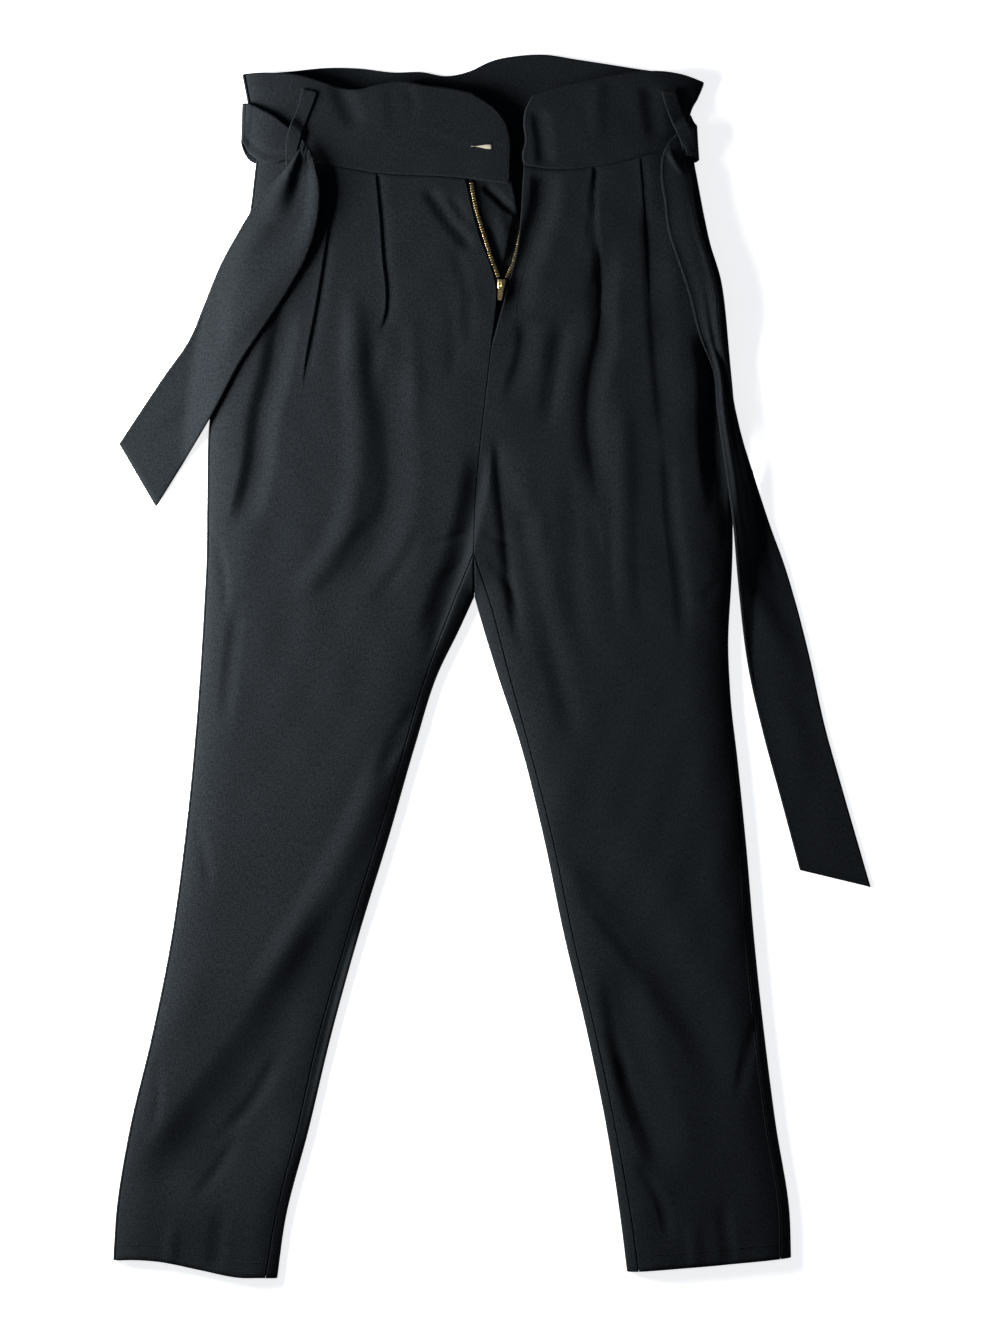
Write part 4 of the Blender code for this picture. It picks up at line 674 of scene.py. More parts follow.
# %% Pleats
Pleat = namedtuple("Pleat", "name drop crest near far start end path")
PLEATS = (
    Pleat("left pleat 1", 1.6, 0.5, 7, 8, 3, 26,
          ((-99, 417.5), (-95, 376), (-93, 345.5), (-90, 317), (-91, 298.5), (-98.5, 279))),
    Pleat("left pleat 2", 1.6, 0.6, 8, 9, 3, 45,
          ((-136, 423.5), (-137.5, 388.5), (-142.5, 352), (-150, 305.5), (-158, 263.5),
           (-162, 232))),
    Pleat("right pleat 1", 1.2, 0.5, 7, 8, 3, 50,
          ((86, 425), (83.5, 396), (84.5, 369), (87, 348), (90, 322), (90, 296), (87, 268))),
    Pleat("right pleat 2", 0.6, 0.3, 7, 8, 3, 60,
          ((125, 433), (128, 395.5), (131, 347), (134, 298.5))),
)
print("pleats", [pleat.name for pleat in PLEATS])

# %% [markdown]
# Between its folds, cloth is never quite flat. A handful of long low waves with
# different lengths and headings, each bent by its own slow swing, break up the plain
# areas without ever lining up. They come from fixed numbers, so each run is the same.

# %% Unevenness and relief
Wave = namedtuple("Wave", "length heading height swing")
WAVES = (
    Wave(47, 0.25, 0.22, 8),
    Wave(64, 1.15, 0.26, 11),
    Wave(83, 2.05, 0.28, 14),
    Wave(36, 2.70, 0.14, 6),
    Wave(27, 0.80, 0.09, 5),
)
# How much later than the one before each wave bends, fades and rises
BEND_LAG, FADE_LAG, RISE_LAG = 1.7, 2.3, 2.1
FADE_LENGTH, FADE_MIDDLE, FADE_SWING = 1.6, 0.55, 0.45
PLEAT_STEP = 1.0
FOLD_STEP = 12.0


def unevenness(x, y):
    """Height of the slow waves at a place."""
    total = np.zeros(np.shape(x))
    for number, wave in enumerate(WAVES):
        ahead = x * math.cos(wave.heading) + y * math.sin(wave.heading)
        aside = y * math.cos(wave.heading) - x * math.sin(wave.heading)
        bent = ahead + wave.swing * np.sin(aside / wave.length + number * BEND_LAG)
        fade = FADE_MIDDLE + FADE_SWING * np.sin(aside / (wave.length * FADE_LENGTH)
                                                 + number * FADE_LAG)
        total += wave.height * fade * np.sin(bent * math.tau / wave.length
                                             + number * RISE_LAG)
    return total


def lines_of(folds, step=FOLD_STEP):
    """Each fold with the smooth line along its path."""
    return [(fold, line_through(fold.path, step)) for fold in folds]


def faded(fold, line, place):
    """1 along a fold, falling softly to 0 at its two ends."""
    return ease(0.0, fold.start, place) * ease(0.0, fold.end, chord_knots(line)[-1] - place)


def trough(fold, line, x, y):
    """Depth of one fold at a place, below nothing for a ridge."""
    distance, place, side = nearest_on(x, y, line)
    width = np.where(side < 0, fold.near, fold.far)
    bell = np.clip(1 - (distance / width) ** 2, 0.0, 1.0) ** 2
    return fold.depth * bell * faded(fold, line, place)


def pleat_height(pleat, line, x, y):
    """A pleat across its edge: crest, sharp drop and slow rise."""
    distance, place, side = nearest_on(x, y, line)
    upper = pleat.crest * np.clip(1 - distance / pleat.near, 0.0, 1.0) ** 2
    lower = -pleat.drop * np.clip(1 - (distance / pleat.far) ** 2, 0.0, 1.0) ** 1.5
    lower *= ease(0.0, PLEAT_STEP, distance)
    lower += pleat.crest * (1 - ease(0.0, PLEAT_STEP, distance))
    return np.where(side < 0, upper, lower) * faded(pleat, line, place)


FOLD_LINES = lines_of(SOFT_FOLDS)
PLEAT_LINES = lines_of(PLEATS)


def relief(x, y):
    """Height of folds, pleats and waves at a place on the front."""
    total = unevenness(x, y)
    for fold, line in FOLD_LINES:
        total -= trough(fold, line, x, y)
    for pleat, line in PLEAT_LINES:
        total += pleat_height(pleat, line, x, y)
    return total


print("relief at a pleat", np.round(relief(np.array([-94.0, -92.0]), np.array([350.0, 350.0])), 2))

# %% [markdown]
# ## Height of the cloth at any place
# The front is a dome over the floor between its two edges, with the folds laid on it.
# The back is flat, turned up at the edges to meet the front. On the hidden side the
# cloth has creases too, but there they can only lift it a little off the table.

# %% Front, back and side heights
def loft_at(y):
    """Height of the front's middle over the floor at a place down the garment."""
    return along(LOFTS, y)


def rest_at(y):
    """Height of the back: on the floor, and over the belt at the waist."""
    return FLOOR_REST + (BAND_REST - FLOOR_REST) * ease(BAND_RISE_FROM, BAND_RISE_TO, y)


def round_off(distance, width):
    """Quarter ellipse: 0 at the silhouette, 1 from a width inside it."""
    t = 1 - np.clip(distance / width, 0.0, 1.0)
    return np.sqrt(1 - t * t)


def edge_distances(x, y):
    """Distance inside the outer silhouette and from the fork between the legs."""
    left = nearest_on(x, y, LEFT_SIDE)[0]
    right = nearest_on(x, y, RIGHT_SIDE)[0]
    inner_left = nearest_on(x, y, LEFT_INNER)[0]
    inner_right = nearest_on(x, y, RIGHT_INNER)[0]
    return np.minimum(left, right), np.minimum(inner_left, inner_right)


BACK_FOLDS = (
    Fold("seat left", 1.5, 14, 18, 60, 80, ((-60, 372), (-76, 300), (-84, 220), (-80, 150))),
    Fold("seat right", 1.4, 16, 13, 60, 80, ((44, 378), (58, 300), (62, 226), (54, 160))),
    Fold("hip left", 1.2, 11, 14, 40, 60, ((-150, 386), (-162, 320), (-176, 250))),
    Fold("hip right", 1.1, 12, 11, 40, 60, ((120, 388), (134, 330), (140, 262))),
    Fold("under seat left", 1.6, 9, 13, 25, 45, ((-30, 96), (-66, 78), (-116, 84), (-150, 96))),
    Fold("under seat right", 1.5, 9, 12, 25, 45, ((0, 92), (38, 74), (86, 82), (126, 98))),
    Fold("seat fan left", 1, 6, 8, 12, 30, ((-24, 118), (-52, 128), (-84, 150))),
    Fold("seat fan right", 1, 6, 8, 12, 30, ((-4, 116), (24, 128), (54, 152))),
    Fold("knee left", 1.2, 10, 12, 30, 50, ((-128, -132), (-166, -166), (-206, -182))),
    Fold("knee left 2", 1, 8, 10, 25, 40, ((-138, -190), (-178, -214), (-224, -222))),
    Fold("knee right", 1.2, 10, 12, 30, 50, ((88, -128), (124, -166), (164, -186))),
    Fold("knee right 2", 1, 9, 8, 25, 40, ((98, -196), (138, -214), (182, -218))),
    Fold("calf left", 1.3, 13, 15, 60, 70, ((-160, -250), (-200, -330), (-246, -420))),
    Fold("calf right", 1.3, 14, 12, 60, 70, ((118, -256), (156, -340), (186, -440))),
    Fold("thigh left", 1.1, 12, 14, 50, 60, ((-140, 50), (-156, -30), (-186, -96))),
    Fold("thigh right", 1.1, 14, 12, 50, 60, ((92, 54), (110, -26), (138, -98))),
)
BACK_LINES = lines_of(BACK_FOLDS)
BACK_LIFT = 0.25
BACK_WAVES = 0.5
BACK_WAVE_SHIFT = (31.0, -17.0)
BACK_CALM = (2.0, 14.0)
OUTER_CALM = 12.0
INNER_CALM = 6.0


def back_relief(x, y, inside):
    """How far the back's creases lift it off the table."""
    shift_x, shift_y = BACK_WAVE_SHIFT
    total = BACK_LIFT + unevenness(x + shift_x, y + shift_y) * BACK_WAVES
    for fold, line in BACK_LINES:
        total += trough(fold, line, x, y)
    return np.clip(total, 0.0, None) * ease(*BACK_CALM, inside)


def front_height(x, y):
    """Middle surface of the front, and of what wraps to the front."""
    outer, inner = edge_distances(x, y)
    loft = loft_at(y)
    side = rest_at(y) + SIDE_LIFT
    width = loft * ROUND_PER_LOFT
    dome = round_off(outer, width) * round_off(inner, width)
    calm = ease(0.0, OUTER_CALM, outer) * ease(0.0, INNER_CALM, inner)
    return side + (loft - side) * dome + relief(x, y) * calm


def back_height(x, y):
    """Middle surface of the back: nearly flat, turned up at the silhouette."""
    outer, inner = edge_distances(x, y)
    inside = np.minimum(outer, inner)
    turn = round_off(inside, CURL)
    return rest_at(y) + SIDE_LIFT * (1 - turn) + back_relief(x, y, inside)


def side_height(x, y):
    """Middle surface at the silhouette itself, where front and back meet."""
    return rest_at(y) + SIDE_LIFT


def raised(places, levels):
    """Rows of x, y places with their heights. levels gives a height rule by column."""
    places = np.asarray(places, float)
    x, y = places[..., 0], places[..., 1]
    height = np.zeros(x.shape)
    rules = np.broadcast_to(np.asarray(levels, object), x.shape)
    for rule in (front_height, back_height, side_height):
        chosen = rules == rule
        if chosen.any():
            height[chosen] = rule(x[chosen], y[chosen])
    return np.concatenate((places, height[..., None]), axis=2)


print("front at the left thigh", np.round(front_height(np.array([-150.0]), np.array([0.0])), 1))

# %% [markdown]
# ## From a grid of points to a shell of cloth
# A sheet could be one surface with a Solidify modifier, but its edges would be square.
# Here each shell is built with its wall: the grid is moved half a wall up and half a
# wall down along its own normals, and between them runs a rounded rim, as the folded
# edge of a hem has. The map that the weave follows is measured along the cloth itself.

# %% Normals and the cloth's map
def unit(vectors):
    """The same directions with a length of one."""
    size = np.linalg.norm(vectors, axis=-1, keepdims=True)
    return vectors / np.where(size > 0, size, 1.0)


def difference(grid, known, axis):
    """Change from the neighbour before to the neighbour after, where they exist."""
    before = np.roll(grid, 1, axis)
    after = np.roll(grid, -1, axis)
    has_before = np.roll(known, 1, axis)
    has_after = np.roll(known, -1, axis)
    ends = [slice(None), slice(None)]
    ends[axis] = 0
    has_before[tuple(ends)] = False
    ends[axis] = -1
    has_after[tuple(ends)] = False
    low = np.where(has_before[..., None], before, grid)
    high = np.where(has_after[..., None], after, grid)
    return high - low


def cloth_map(grid):
    """Distances across and down the cloth from its middle column and top row."""
    across = np.linalg.norm(np.diff(grid, axis=1), axis=2)
    down = np.linalg.norm(np.diff(grid, axis=0), axis=2)
    u = np.concatenate((np.zeros((len(grid), 1)), np.cumsum(across, axis=1)), axis=1)
    v = np.concatenate((np.zeros((1, grid.shape[1])), np.cumsum(down, axis=0)), axis=0)
    middle = grid.shape[1] // 2
    v = np.repeat(v[:, middle:middle + 1], grid.shape[1], axis=1)
    return np.stack((u - u[:, middle:middle + 1], v), axis=2) * MM

# %% The shell
SHIFT = (-0.003, 0.114, 0.0)
RIM = 0.42


def drawn_back(grid, pull):
    """The grid with its end columns drawn back from the seams, by an amount a row."""
    for column, inner, amounts in ((0, 1, pull[0]), (-1, -2, pull[1])):
        run = unit(grid[:, inner] - grid[:, column])
        grid[:, column] += run * np.asarray(amounts, float)[:, None]
    return grid


def shell(name, grid, wall, finish, ghosts=0, known=None, pull=None):
    """A closed sheet round a grid of middle points, with a rounded rim.

    ghosts: columns at each end that only lean the normals and are dropped.
    known: which points exist. pull: how far the end columns draw back, per row.
    """
    grid = np.asarray(grid, float)
    known = np.ones(grid.shape[:2], bool) if known is None else known
    normal = unit(np.cross(difference(grid, known, 1), difference(grid, known, 0)))
    keep = slice(ghosts, grid.shape[1] - ghosts)
    grid, normal, known = grid[:, keep].copy(), normal[:, keep], known[:, keep]
    uv = cloth_map(grid)[known]
    if pull is not None:
        grid = drawn_back(grid, pull)
    count = int(known.sum())
    number = np.full(known.shape, -1)
    number[known] = np.arange(count)
    cells = np.stack((number[:-1, :-1], number[:-1, 1:], number[1:, 1:], number[1:, :-1]), -1)
    cells = cells.reshape(-1, 4)
    cells = cells[(cells >= 0).all(axis=1)]
    edges = np.concatenate([cells[:, [side, (side + 1) % 4]] for side in range(4)])
    forward = edges[:, 0] * count + edges[:, 1]
    edges = edges[~np.isin(forward, edges[:, 1] * count + edges[:, 0])]
    middle, lean = grid[known], normal[known]
    after = np.arange(count)
    before = np.arange(count)
    after[edges[:, 0]] = edges[:, 1]
    before[edges[:, 1]] = edges[:, 0]
    ring = edges[:, 0]
    outward = unit(np.cross(middle[after[ring]] - middle[before[ring]], lean[ring]))
    drawn = middle.copy()
    drawn[ring] -= outward * wall * RIM
    points = np.vstack((drawn + lean * wall / 2, drawn - lean * wall / 2, middle[ring]))
    rim = np.full(count, -1)
    rim[ring] = np.arange(len(ring)) + 2 * count
    start, end = edges[:, 0], edges[:, 1]
    faces = np.vstack((cells, cells[:, ::-1] + count,
                       np.stack((end, start, rim[start], rim[end]), 1),
                       np.stack((rim[end], rim[start], start + count, end + count), 1)))
    mesh = bpy.data.meshes.new(name)
    mesh.from_pydata(((points + SHIFT) * MM).tolist(), [], faces.tolist())
    mesh.update()
    mesh.shade_smooth()
    layer = mesh.uv_layers.new(name="cloth")
    corner = np.zeros(len(mesh.loops), np.int32)
    mesh.loops.foreach_get("vertex_index", corner)
    layer.data.foreach_set("uv", np.vstack((uv, uv, uv[ring]))[corner].ravel())
    mesh.materials.append(finish)
    piece = bpy.data.objects.new(name, mesh)
    bpy.context.scene.collection.objects.link(piece)
    print(name, len(faces), "faces")
    return piece

# %% [markdown]
# ## Legs
# Each leg has a front and a back panel that share their rows, so that the side seam
# and the inner leg seam meet point for point. Columns follow the pleats from the waist
# to the hem and crowd beside them, because a sharp edge needs close points and the
# plain cloth between pleats doesn't. The back wraps a little round to the front, as
# worn trousers laid flat do, so the seams show just inside the silhouette.

# %% Column guides
PANEL_STEPS = (3.4, 4.6)
GUIDE_OFFSETS = (0.6, 1.2, 2.2, 3.8, 6.2)
OUTER_COLUMNS = (0.6, 1.5, 3.0, 5.2, 8.0, 11.5, 15.0)
NEAR_SEAM = (10.0, 6.5, 4.0, 2.2, 1.0)
COLUMN_GAP = 0.42
SEAM_GAP = 0.01
SEAM_LEAN = 0.85
SEAM_STEP = 1.0
SEAM_BOW_REACH = 90.0
GUIDE_STEP = 15.0
CROSSING_TRIES = 6
LEFT_PLEAT_1, LEFT_PLEAT_2 = PLEATS[:2]
LEFT_GUIDES = (
    ((-172, 430), (-176, 311.5), (-188, 248.5), (-200, 190), (-217.5, 110.5), (-222, 20),
     (-240, -150), (-266, -310), (-296, -450), (-300, -510)),
    LEFT_PLEAT_2.path[:-1] + (
        (-166, 200), (-178, 100), (-191, 0), (-208, -110), (-232, -230), (-258, -360),
        (-280, -512)),
    LEFT_PLEAT_1.path[:-1] + (
        (-94, 240), (-90, 141.5), (-111.5, 87), (-137.5, 10), (-168, -110), (-196, -230),
        (-222, -340), (-244, -516)),
)
RIGHT_GUIDES = (
    ((162, 439), (172, 320), (185, 248.5), (184, 180), (183, 60), (190, -100), (206, -280),
     (226, -420), (232, -508)),
    ((125, 433), (129.5, 395.5), (133, 347), (134.5, 298.5), (138, 259.5), (144, 200), (148, 60),
     (160, -100), (180, -280), (200, -420), (208, -510)),
    ((87, 425), (92, 366), (94, 330), (92, 295), (87, 262), (83, 232), (84, 196.5), (92, 148),
     (100, 60), (119, -100), (146, -280), (168, -420), (176, -512)),
    ((40, 425), (38, 378), (29.5, 344), (25.5, 308), (26, 280), (22, 255), (12, 225), (6, 195),
     (6, 160), (10, 118), (14, 84), (22, 40), (34, 0), (52, -67), (74, -147), (91, -229),
     (111, -314), (127, -394), (141, -470), (147, -515)),
)
# How many columns fill each space between two guides
LEFT_FILLS = (6, 9, 13, 16)
RIGHT_FILLS = (5, 10, 13, 9, 2)
print("columns follow", len(LEFT_GUIDES), "lines on the left and", len(RIGHT_GUIDES))

# %% Rows and columns of a panel
def crossing(start, end, line):
    """Part of the way from start to end where a row meets a guide line."""
    t = 0.5
    for _ in range(CROSSING_TRIES):
        y = start[1] + t * (end[1] - start[1])
        x = np.interp(-y, -line[:, 1], line[:, 0])
        t = (x - start[0]) / (end[0] - start[0])
    return float(t)


def seam_bow(sections, y_seam, t, fade):
    """How far a row bows off the straight, so that the top row is the waist seam."""
    start = np.array(sections[0][1:3])
    end = np.array(sections[0][3:5])
    x = start[0] + t * (end[0] - start[0])
    straight = start[1] + t * (end[1] - start[1])
    return (along(y_seam, x) - straight) * fade


PanelRow = namedtuple("PanelRow", "outer seam fold wrap reach gap leg")


def panel_rows(sections):
    """The rows that a front and its back share, with the gap at the centre seams."""
    sign = 1.0 if sections[0].outer_x < 0 else -1.0
    tack = row_of(sections, BARTACK, PANEL_STEPS)
    fork = row_of(sections, CROTCH, PANEL_STEPS)
    hem_y = sections[-1].outer_y
    rows = []
    for number, row in enumerate(section_rows(sections, PANEL_STEPS)):
        outer, seam, fold = row[OUTER].copy(), row[SEAM].copy(), row[FOLD].copy()
        outer[0] += sign * PANEL_WALL / 2
        if tack <= number <= fork:
            seam[0] -= sign * SEAM_GAP / 2
        if number <= fork:
            fold[0] -= sign * SEAM_GAP / 2
        if number >= fork:
            fold[0] -= sign * PANEL_WALL / 2
        reach = float(ease(hem_y + HEM_WAVE_REACH, hem_y, row[1]))
        gap = GAP / 2 if number == 0 else 0.0
        rows.append(PanelRow(outer, seam, fold, row[WRAP], reach, gap, number - fork))
    return rows


def waved(points, row, hem):
    """Places along a row with the hem's wave, and half a gap below the waist seam."""
    return [(x, y + row.reach * float(along(hem, x)) - row.gap) for x, y in points]


def seam_pulls(rows):
    """How far the end columns draw back, at the side seam and at the inner leg seam."""
    return [GAP / 2] * len(rows), [GAP / 2 if row.leg >= 0 else 0.0 for row in rows]


def front_columns(start, end, lines, fills, wrap):
    """Places of a front panel's columns along one row, 0 outside to 1 at the seam."""
    length = math.hypot(end[0] - start[0], end[1] - start[1])
    places = [(wrap + extra) / length for extra in OUTER_COLUMNS]
    groups = []
    for line in lines:
        middle = crossing(start, end, line)
        before = [middle - offset / length for offset in reversed(GUIDE_OFFSETS)]
        groups.append(before + [middle] + [middle + offset / length for offset in GUIDE_OFFSETS])
    groups.append([1 - distance / length for distance in NEAR_SEAM] + [1.0])
    for group, fill in zip(groups, fills):
        low = places[-1]
        places.extend(low + (group[0] - low) * (i + 1) / (fill + 1) for i in range(fill))
        places.extend(group)
    places = np.array(places)
    step = COLUMN_GAP / length * np.arange(len(places))
    places = np.maximum.accumulate(places - step) + step
    places[-1] = 1.0
    places = np.minimum.accumulate((places - step)[::-1])[::-1] + step
    return [wrap * SEAM_LEAN / length, wrap / length] + list(places)

# %% Front panels
def front_panel(name, sections, guides, fills, seam_line, hem):
    """One front panel, from the waist seam to the hem."""
    rows = panel_rows(sections)
    lines = [line_through(path, GUIDE_STEP) for path in guides]
    grid = []
    for row in rows:
        outer, seam = row.outer, row.seam
        fade = 1.0 - float(ease(0.0, SEAM_BOW_REACH, rows[0].outer[1] - outer[1]))
        points = []
        for t in front_columns(outer, seam, lines, fills, row.wrap):
            x, y = outer + t * (seam - outer)
            points.append((x, y + seam_bow(sections, seam_line, t, fade)))
        if row.leg < 0:
            points.append(seam + (seam - outer) / np.linalg.norm(seam - outer) * SEAM_STEP)
        else:
            points.append(seam + (row.fold - seam) * (1 - SEAM_LEAN))
        grid.append(waved(points, row, hem))
    return shell(name, raised(grid, front_height), PANEL_WALL, BLACK_CREPE, ghosts=1,
                 pull=seam_pulls(rows))


front_left = front_panel("front_left_cloth", LEFT_SECTIONS, LEFT_GUIDES, LEFT_FILLS,
                         LEFT_SEAM, LEFT_HEM)
front_right = front_panel("front_right_cloth", RIGHT_SECTIONS, RIGHT_GUIDES, RIGHT_FILLS,
                          RIGHT_SEAM, RIGHT_HEM)

# %% Back panels
WRAP_PARTS = (1.0, SEAM_LEAN, 0.68, 0.5, 0.34, 0.2, 0.1, 0.03)
TURN_COLUMNS = (0.15, 0.4, 0.8, 1.4, 2.2, 3.0)
BACK_FLATS = 48
# Above the fork the turn at the centre seam fades out over some rows, to a wider one
CENTRE_SPREAD = 3.0
CENTRE_ROWS = 12.0


def back_panel(name, sections, hem):
    """One back panel, with the strips that wrap to the front at its leg seams."""
    rows = panel_rows(sections)
    folds = len(WRAP_PARTS) + 1
    wraps = [front_height] * folds + [side_height]
    middle = [back_height] * (2 * len(TURN_COLUMNS) + 2 + BACK_FLATS)
    levels = [wraps + middle + [side_height if row.leg >= 0 else back_height]
              + [front_height] * folds for row in rows]
    grid = []
    for row in rows:
        outer, seam, fold, wrap = row.outer, row.seam, row.fold, row.wrap
        spread = 1.0 + CENTRE_SPREAD * min(1.0, max(0.0, -row.leg / CENTRE_ROWS))
        length = np.linalg.norm(fold - outer)
        run = (fold - outer) / length
        across = (seam - outer) / np.linalg.norm(seam - outer)
        points = [outer + across * inward
                  for inward in [wrap + OUTER_COLUMNS[0]] + [wrap * part for part in WRAP_PARTS]]
        points.append(outer)
        flat = length - CURL - CURL * spread
        floor = list(TURN_COLUMNS) + [CURL]
        floor += [CURL + flat * (i + 1) / (BACK_FLATS + 1) for i in range(BACK_FLATS)]
        floor += [length - CURL * spread]
        floor += [length - part * spread for part in reversed(TURN_COLUMNS)]
        points += [outer + run * inward for inward in floor] + [fold]
        points += [fold + (seam - fold) * part for part in reversed(WRAP_PARTS)]
        points.append(seam - across * NEAR_SEAM[-1])
        grid.append(waved(points, row, hem))
    known = np.ones((len(rows), len(grid[0])), bool)
    known[[row.leg < 0 for row in rows], -folds:] = False
    return shell(name, raised(grid, levels), PANEL_WALL, BLACK_CREPE, ghosts=1, known=known,
                 pull=seam_pulls(rows))


back_left = back_panel("back_left_cloth", LEFT_SECTIONS, LEFT_HEM)
back_right = back_panel("back_right_cloth", RIGHT_SECTIONS, RIGHT_HEM)

# %% [markdown]
# ## Waistband
# The band is two layers with a stiffening between, folded over at the top, so its wall
# is thicker. The left front end is cut in a curve and carries the buttonhole, and the
# right front end stands almost straight. The back piece turns up at both sides.

# %% Waistband pieces
BAND_COLUMNS = 62
BAND_FLATS = 90
BAND_EDGE_COLUMNS = (0.0, 0.6, 1.5, 3.0, 5.0)
BAND_HEIGHTS = tuple(np.concatenate((np.linspace(0.0, 0.7, 17), np.linspace(0.725, 1.0, 15))))
# How far in from the side the waist seam's height is read
SEAM_READ_IN = 12.0


def side_x(side, y):
    """The silhouette's middle surface at a height, on one side."""
    return float(np.interp(-y, -side[:, 1], side[:, 0]))


def band_shell(name, grid, levels, end_pull):
    """A waistband piece, drawn back from its side seam and at its other end."""
    pull = ([GAP / 2] * len(grid), [end_pull] * len(grid))
    return shell(name, raised(grid, levels), BAND_WALL, BLACK_CREPE, ghosts=1, pull=pull)


def front_band(name, side, seam, top, end):
    """One front waistband piece, from the side seam to its end at the fly."""
    sign = 1.0 if end[0].x > side[0, 0] else -1.0
    reach = along(end, BAND_HEIGHTS)
    low_side = float(along(seam, side[0, 0] + sign * SEAM_READ_IN))
    high_side = float(along(top, side[0, 0]))
    grid = []
    for height, x_end in zip(BAND_HEIGHTS, reach):
        x_side = side_x(side, low_side * (1 - height) + height * high_side)
        width = x_end - x_side
        xs = [x_side + sign * SIDE_SEAM_IN * SEAM_LEAN]
        xs += [x_side + sign * (SIDE_SEAM_IN + extra) for extra in BAND_EDGE_COLUMNS]
        first = (xs[-1] - x_side) / width
        xs += [x_side + width * part for part in np.linspace(first, 1.0, BAND_COLUMNS)[1:]]
        xs.append(x_end + sign * SEAM_STEP)
        low = along(seam, xs) + GAP / 2
        grid.append(list(zip(xs, low + height * (along(top, xs) - low))))
    return band_shell(name, grid, front_height, 0.0)


def back_band(name):
    """The back waistband, with its strips to the side seams."""
    low_left, high_left = LEFT_SEAM[0][1], LEFT_TOP[0][1]
    low_right, high_right = RIGHT_SEAM[-1][1], RIGHT_TOP[-1][1]
    turn = [SIDE_SEAM_IN + OUTER_COLUMNS[0]] + [SIDE_SEAM_IN * part for part in WRAP_PARTS]
    edge = turn + [0.0] + list(TURN_COLUMNS)
    grid = []
    for height in BAND_HEIGHTS:
        left = side_x(LEFT_SIDE, low_left + height * (high_left - low_left))
        right = side_x(RIGHT_SIDE, low_right + height * (high_right - low_right))
        xs = [left + inward for inward in edge]
        xs += list(np.linspace(left + CURL, right - CURL, BAND_FLATS))
        xs += [right - inward for inward in reversed(edge)]
        low = np.interp(xs, *zip(*BACK_SEAM)) + GAP / 2
        grid.append(list(zip(xs, low + height * (along(BACK_TOP, xs) - low))))
    wrapped = [front_height] * len(turn) + [side_height]
    inner = [back_height] * (BAND_FLATS + 2 * len(TURN_COLUMNS))
    return band_shell(name, grid, wrapped + inner + wrapped[::-1], GAP / 2)


band_left = front_band("waistband_left_cloth", LEFT_SIDE, LEFT_SEAM, LEFT_TOP, LEFT_END)
band_right = front_band("waistband_right_cloth", RIGHT_SIDE, RIGHT_SEAM, RIGHT_TOP, RIGHT_END)
band_back = back_band("waistband_back_cloth")
fronts = [front_left, front_right, band_left, band_right]
backs = [back_left, back_right, band_back]

# %% [markdown]
# ## Laying cloth on cloth
# The belt, its loops and the zip's tapes lie on or under other pieces, and their
# heights come from those. A ray cast straight down finds what is below a place. The
# highest hit nearby, less a slope for stiffness, is how low a strip can lie there.

# %% Casting rays at pieces
SLACK = 0.15
DRAPE_SLOPE = 0.45
DRAPE_FLAT = 5.0
OVER_RINGS = (0.0, 1.5, 3.0, 5.0, 8.0, 12.0, 17.0, 22.0)
UNDER_RINGS = (0.0, 2.0, 4.0, 7.0)
RING_SAMPLES = 12
DOWN, UP = Vector((0.0, 0.0, -1.0)), Vector((0.0, 0.0, 1.0))
ABOVE_ALL, BELOW_ALL = 80.0, -5.0


def tree_of(things):
    """One search tree, in millimetres on the pattern, for several pieces."""
    points, faces, count = [], [], 0
    for thing in things:
        mesh = thing.data
        places = np.zeros(len(mesh.vertices) * 3)
        mesh.vertices.foreach_get("co", places)
        points.extend((places.reshape(-1, 3) / MM - SHIFT).tolist())
        faces.extend([corner + count for corner in face.vertices] for face in mesh.polygons)
        count += len(mesh.vertices)
    return BVHTree.FromPolygons(points, faces)


def samples(reaches):
    """Offsets and distances of sample places on rings round a place."""
    found = []
    for reach in reaches:
        count = RING_SAMPLES if reach else 1
        for step in range(count):
            angle = step * math.tau / count
            found.append((reach * math.cos(angle), reach * math.sin(angle), reach))
    return found


def laid_over(grid, tree, clearance, rest):
    """Lowest middle height of a strip that clears what it lies on, near and below."""
    height = np.full(grid.shape[:2], rest)
    rings = samples(OVER_RINGS)
    for place in np.ndindex(height.shape):
        x, y = grid[place][:2]
        for dx, dy, reach in rings:
            hit = tree.ray_cast(Vector((x + dx, y + dy, ABOVE_ALL)), DOWN)[0]
            if hit:
                drop = DRAPE_SLOPE * max(0.0, reach - DRAPE_FLAT)
                height[place] = max(height[place], hit.z + clearance - drop)
    return height


def draped(grid, tree, wall):
    """Middle height of a strip of cloth that lies on other pieces or on the table."""
    return laid_over(grid, tree, wall / 2 + GAP + SLACK, wall / 2)


def tucked_under(grid, tree, clearance):
    """A layer's middle surface, kept below what covers it."""
    rings = samples(UNDER_RINGS)
    for place in np.ndindex(grid.shape[:2]):
        x, y = grid[place][:2]
        for dx, dy, _ in rings:
            hit = tree.ray_cast(Vector((x + dx, y + dy, BELOW_ALL)), UP)[0]
            if hit:
                grid[place][2] = min(grid[place][2], hit.z - clearance)
    return grid


front_tree = tree_of(fronts)
print("rays can be cast at", [piece.name for piece in fronts])

# %% [markdown]
# ## Fly
# The zip's two tapes are sewn under the front edges and spread apart above the slider.
# A shield of cloth lies behind them and shows in the open wedge. All three are kept
# below the fronts, which cover them, by rays cast up from under.

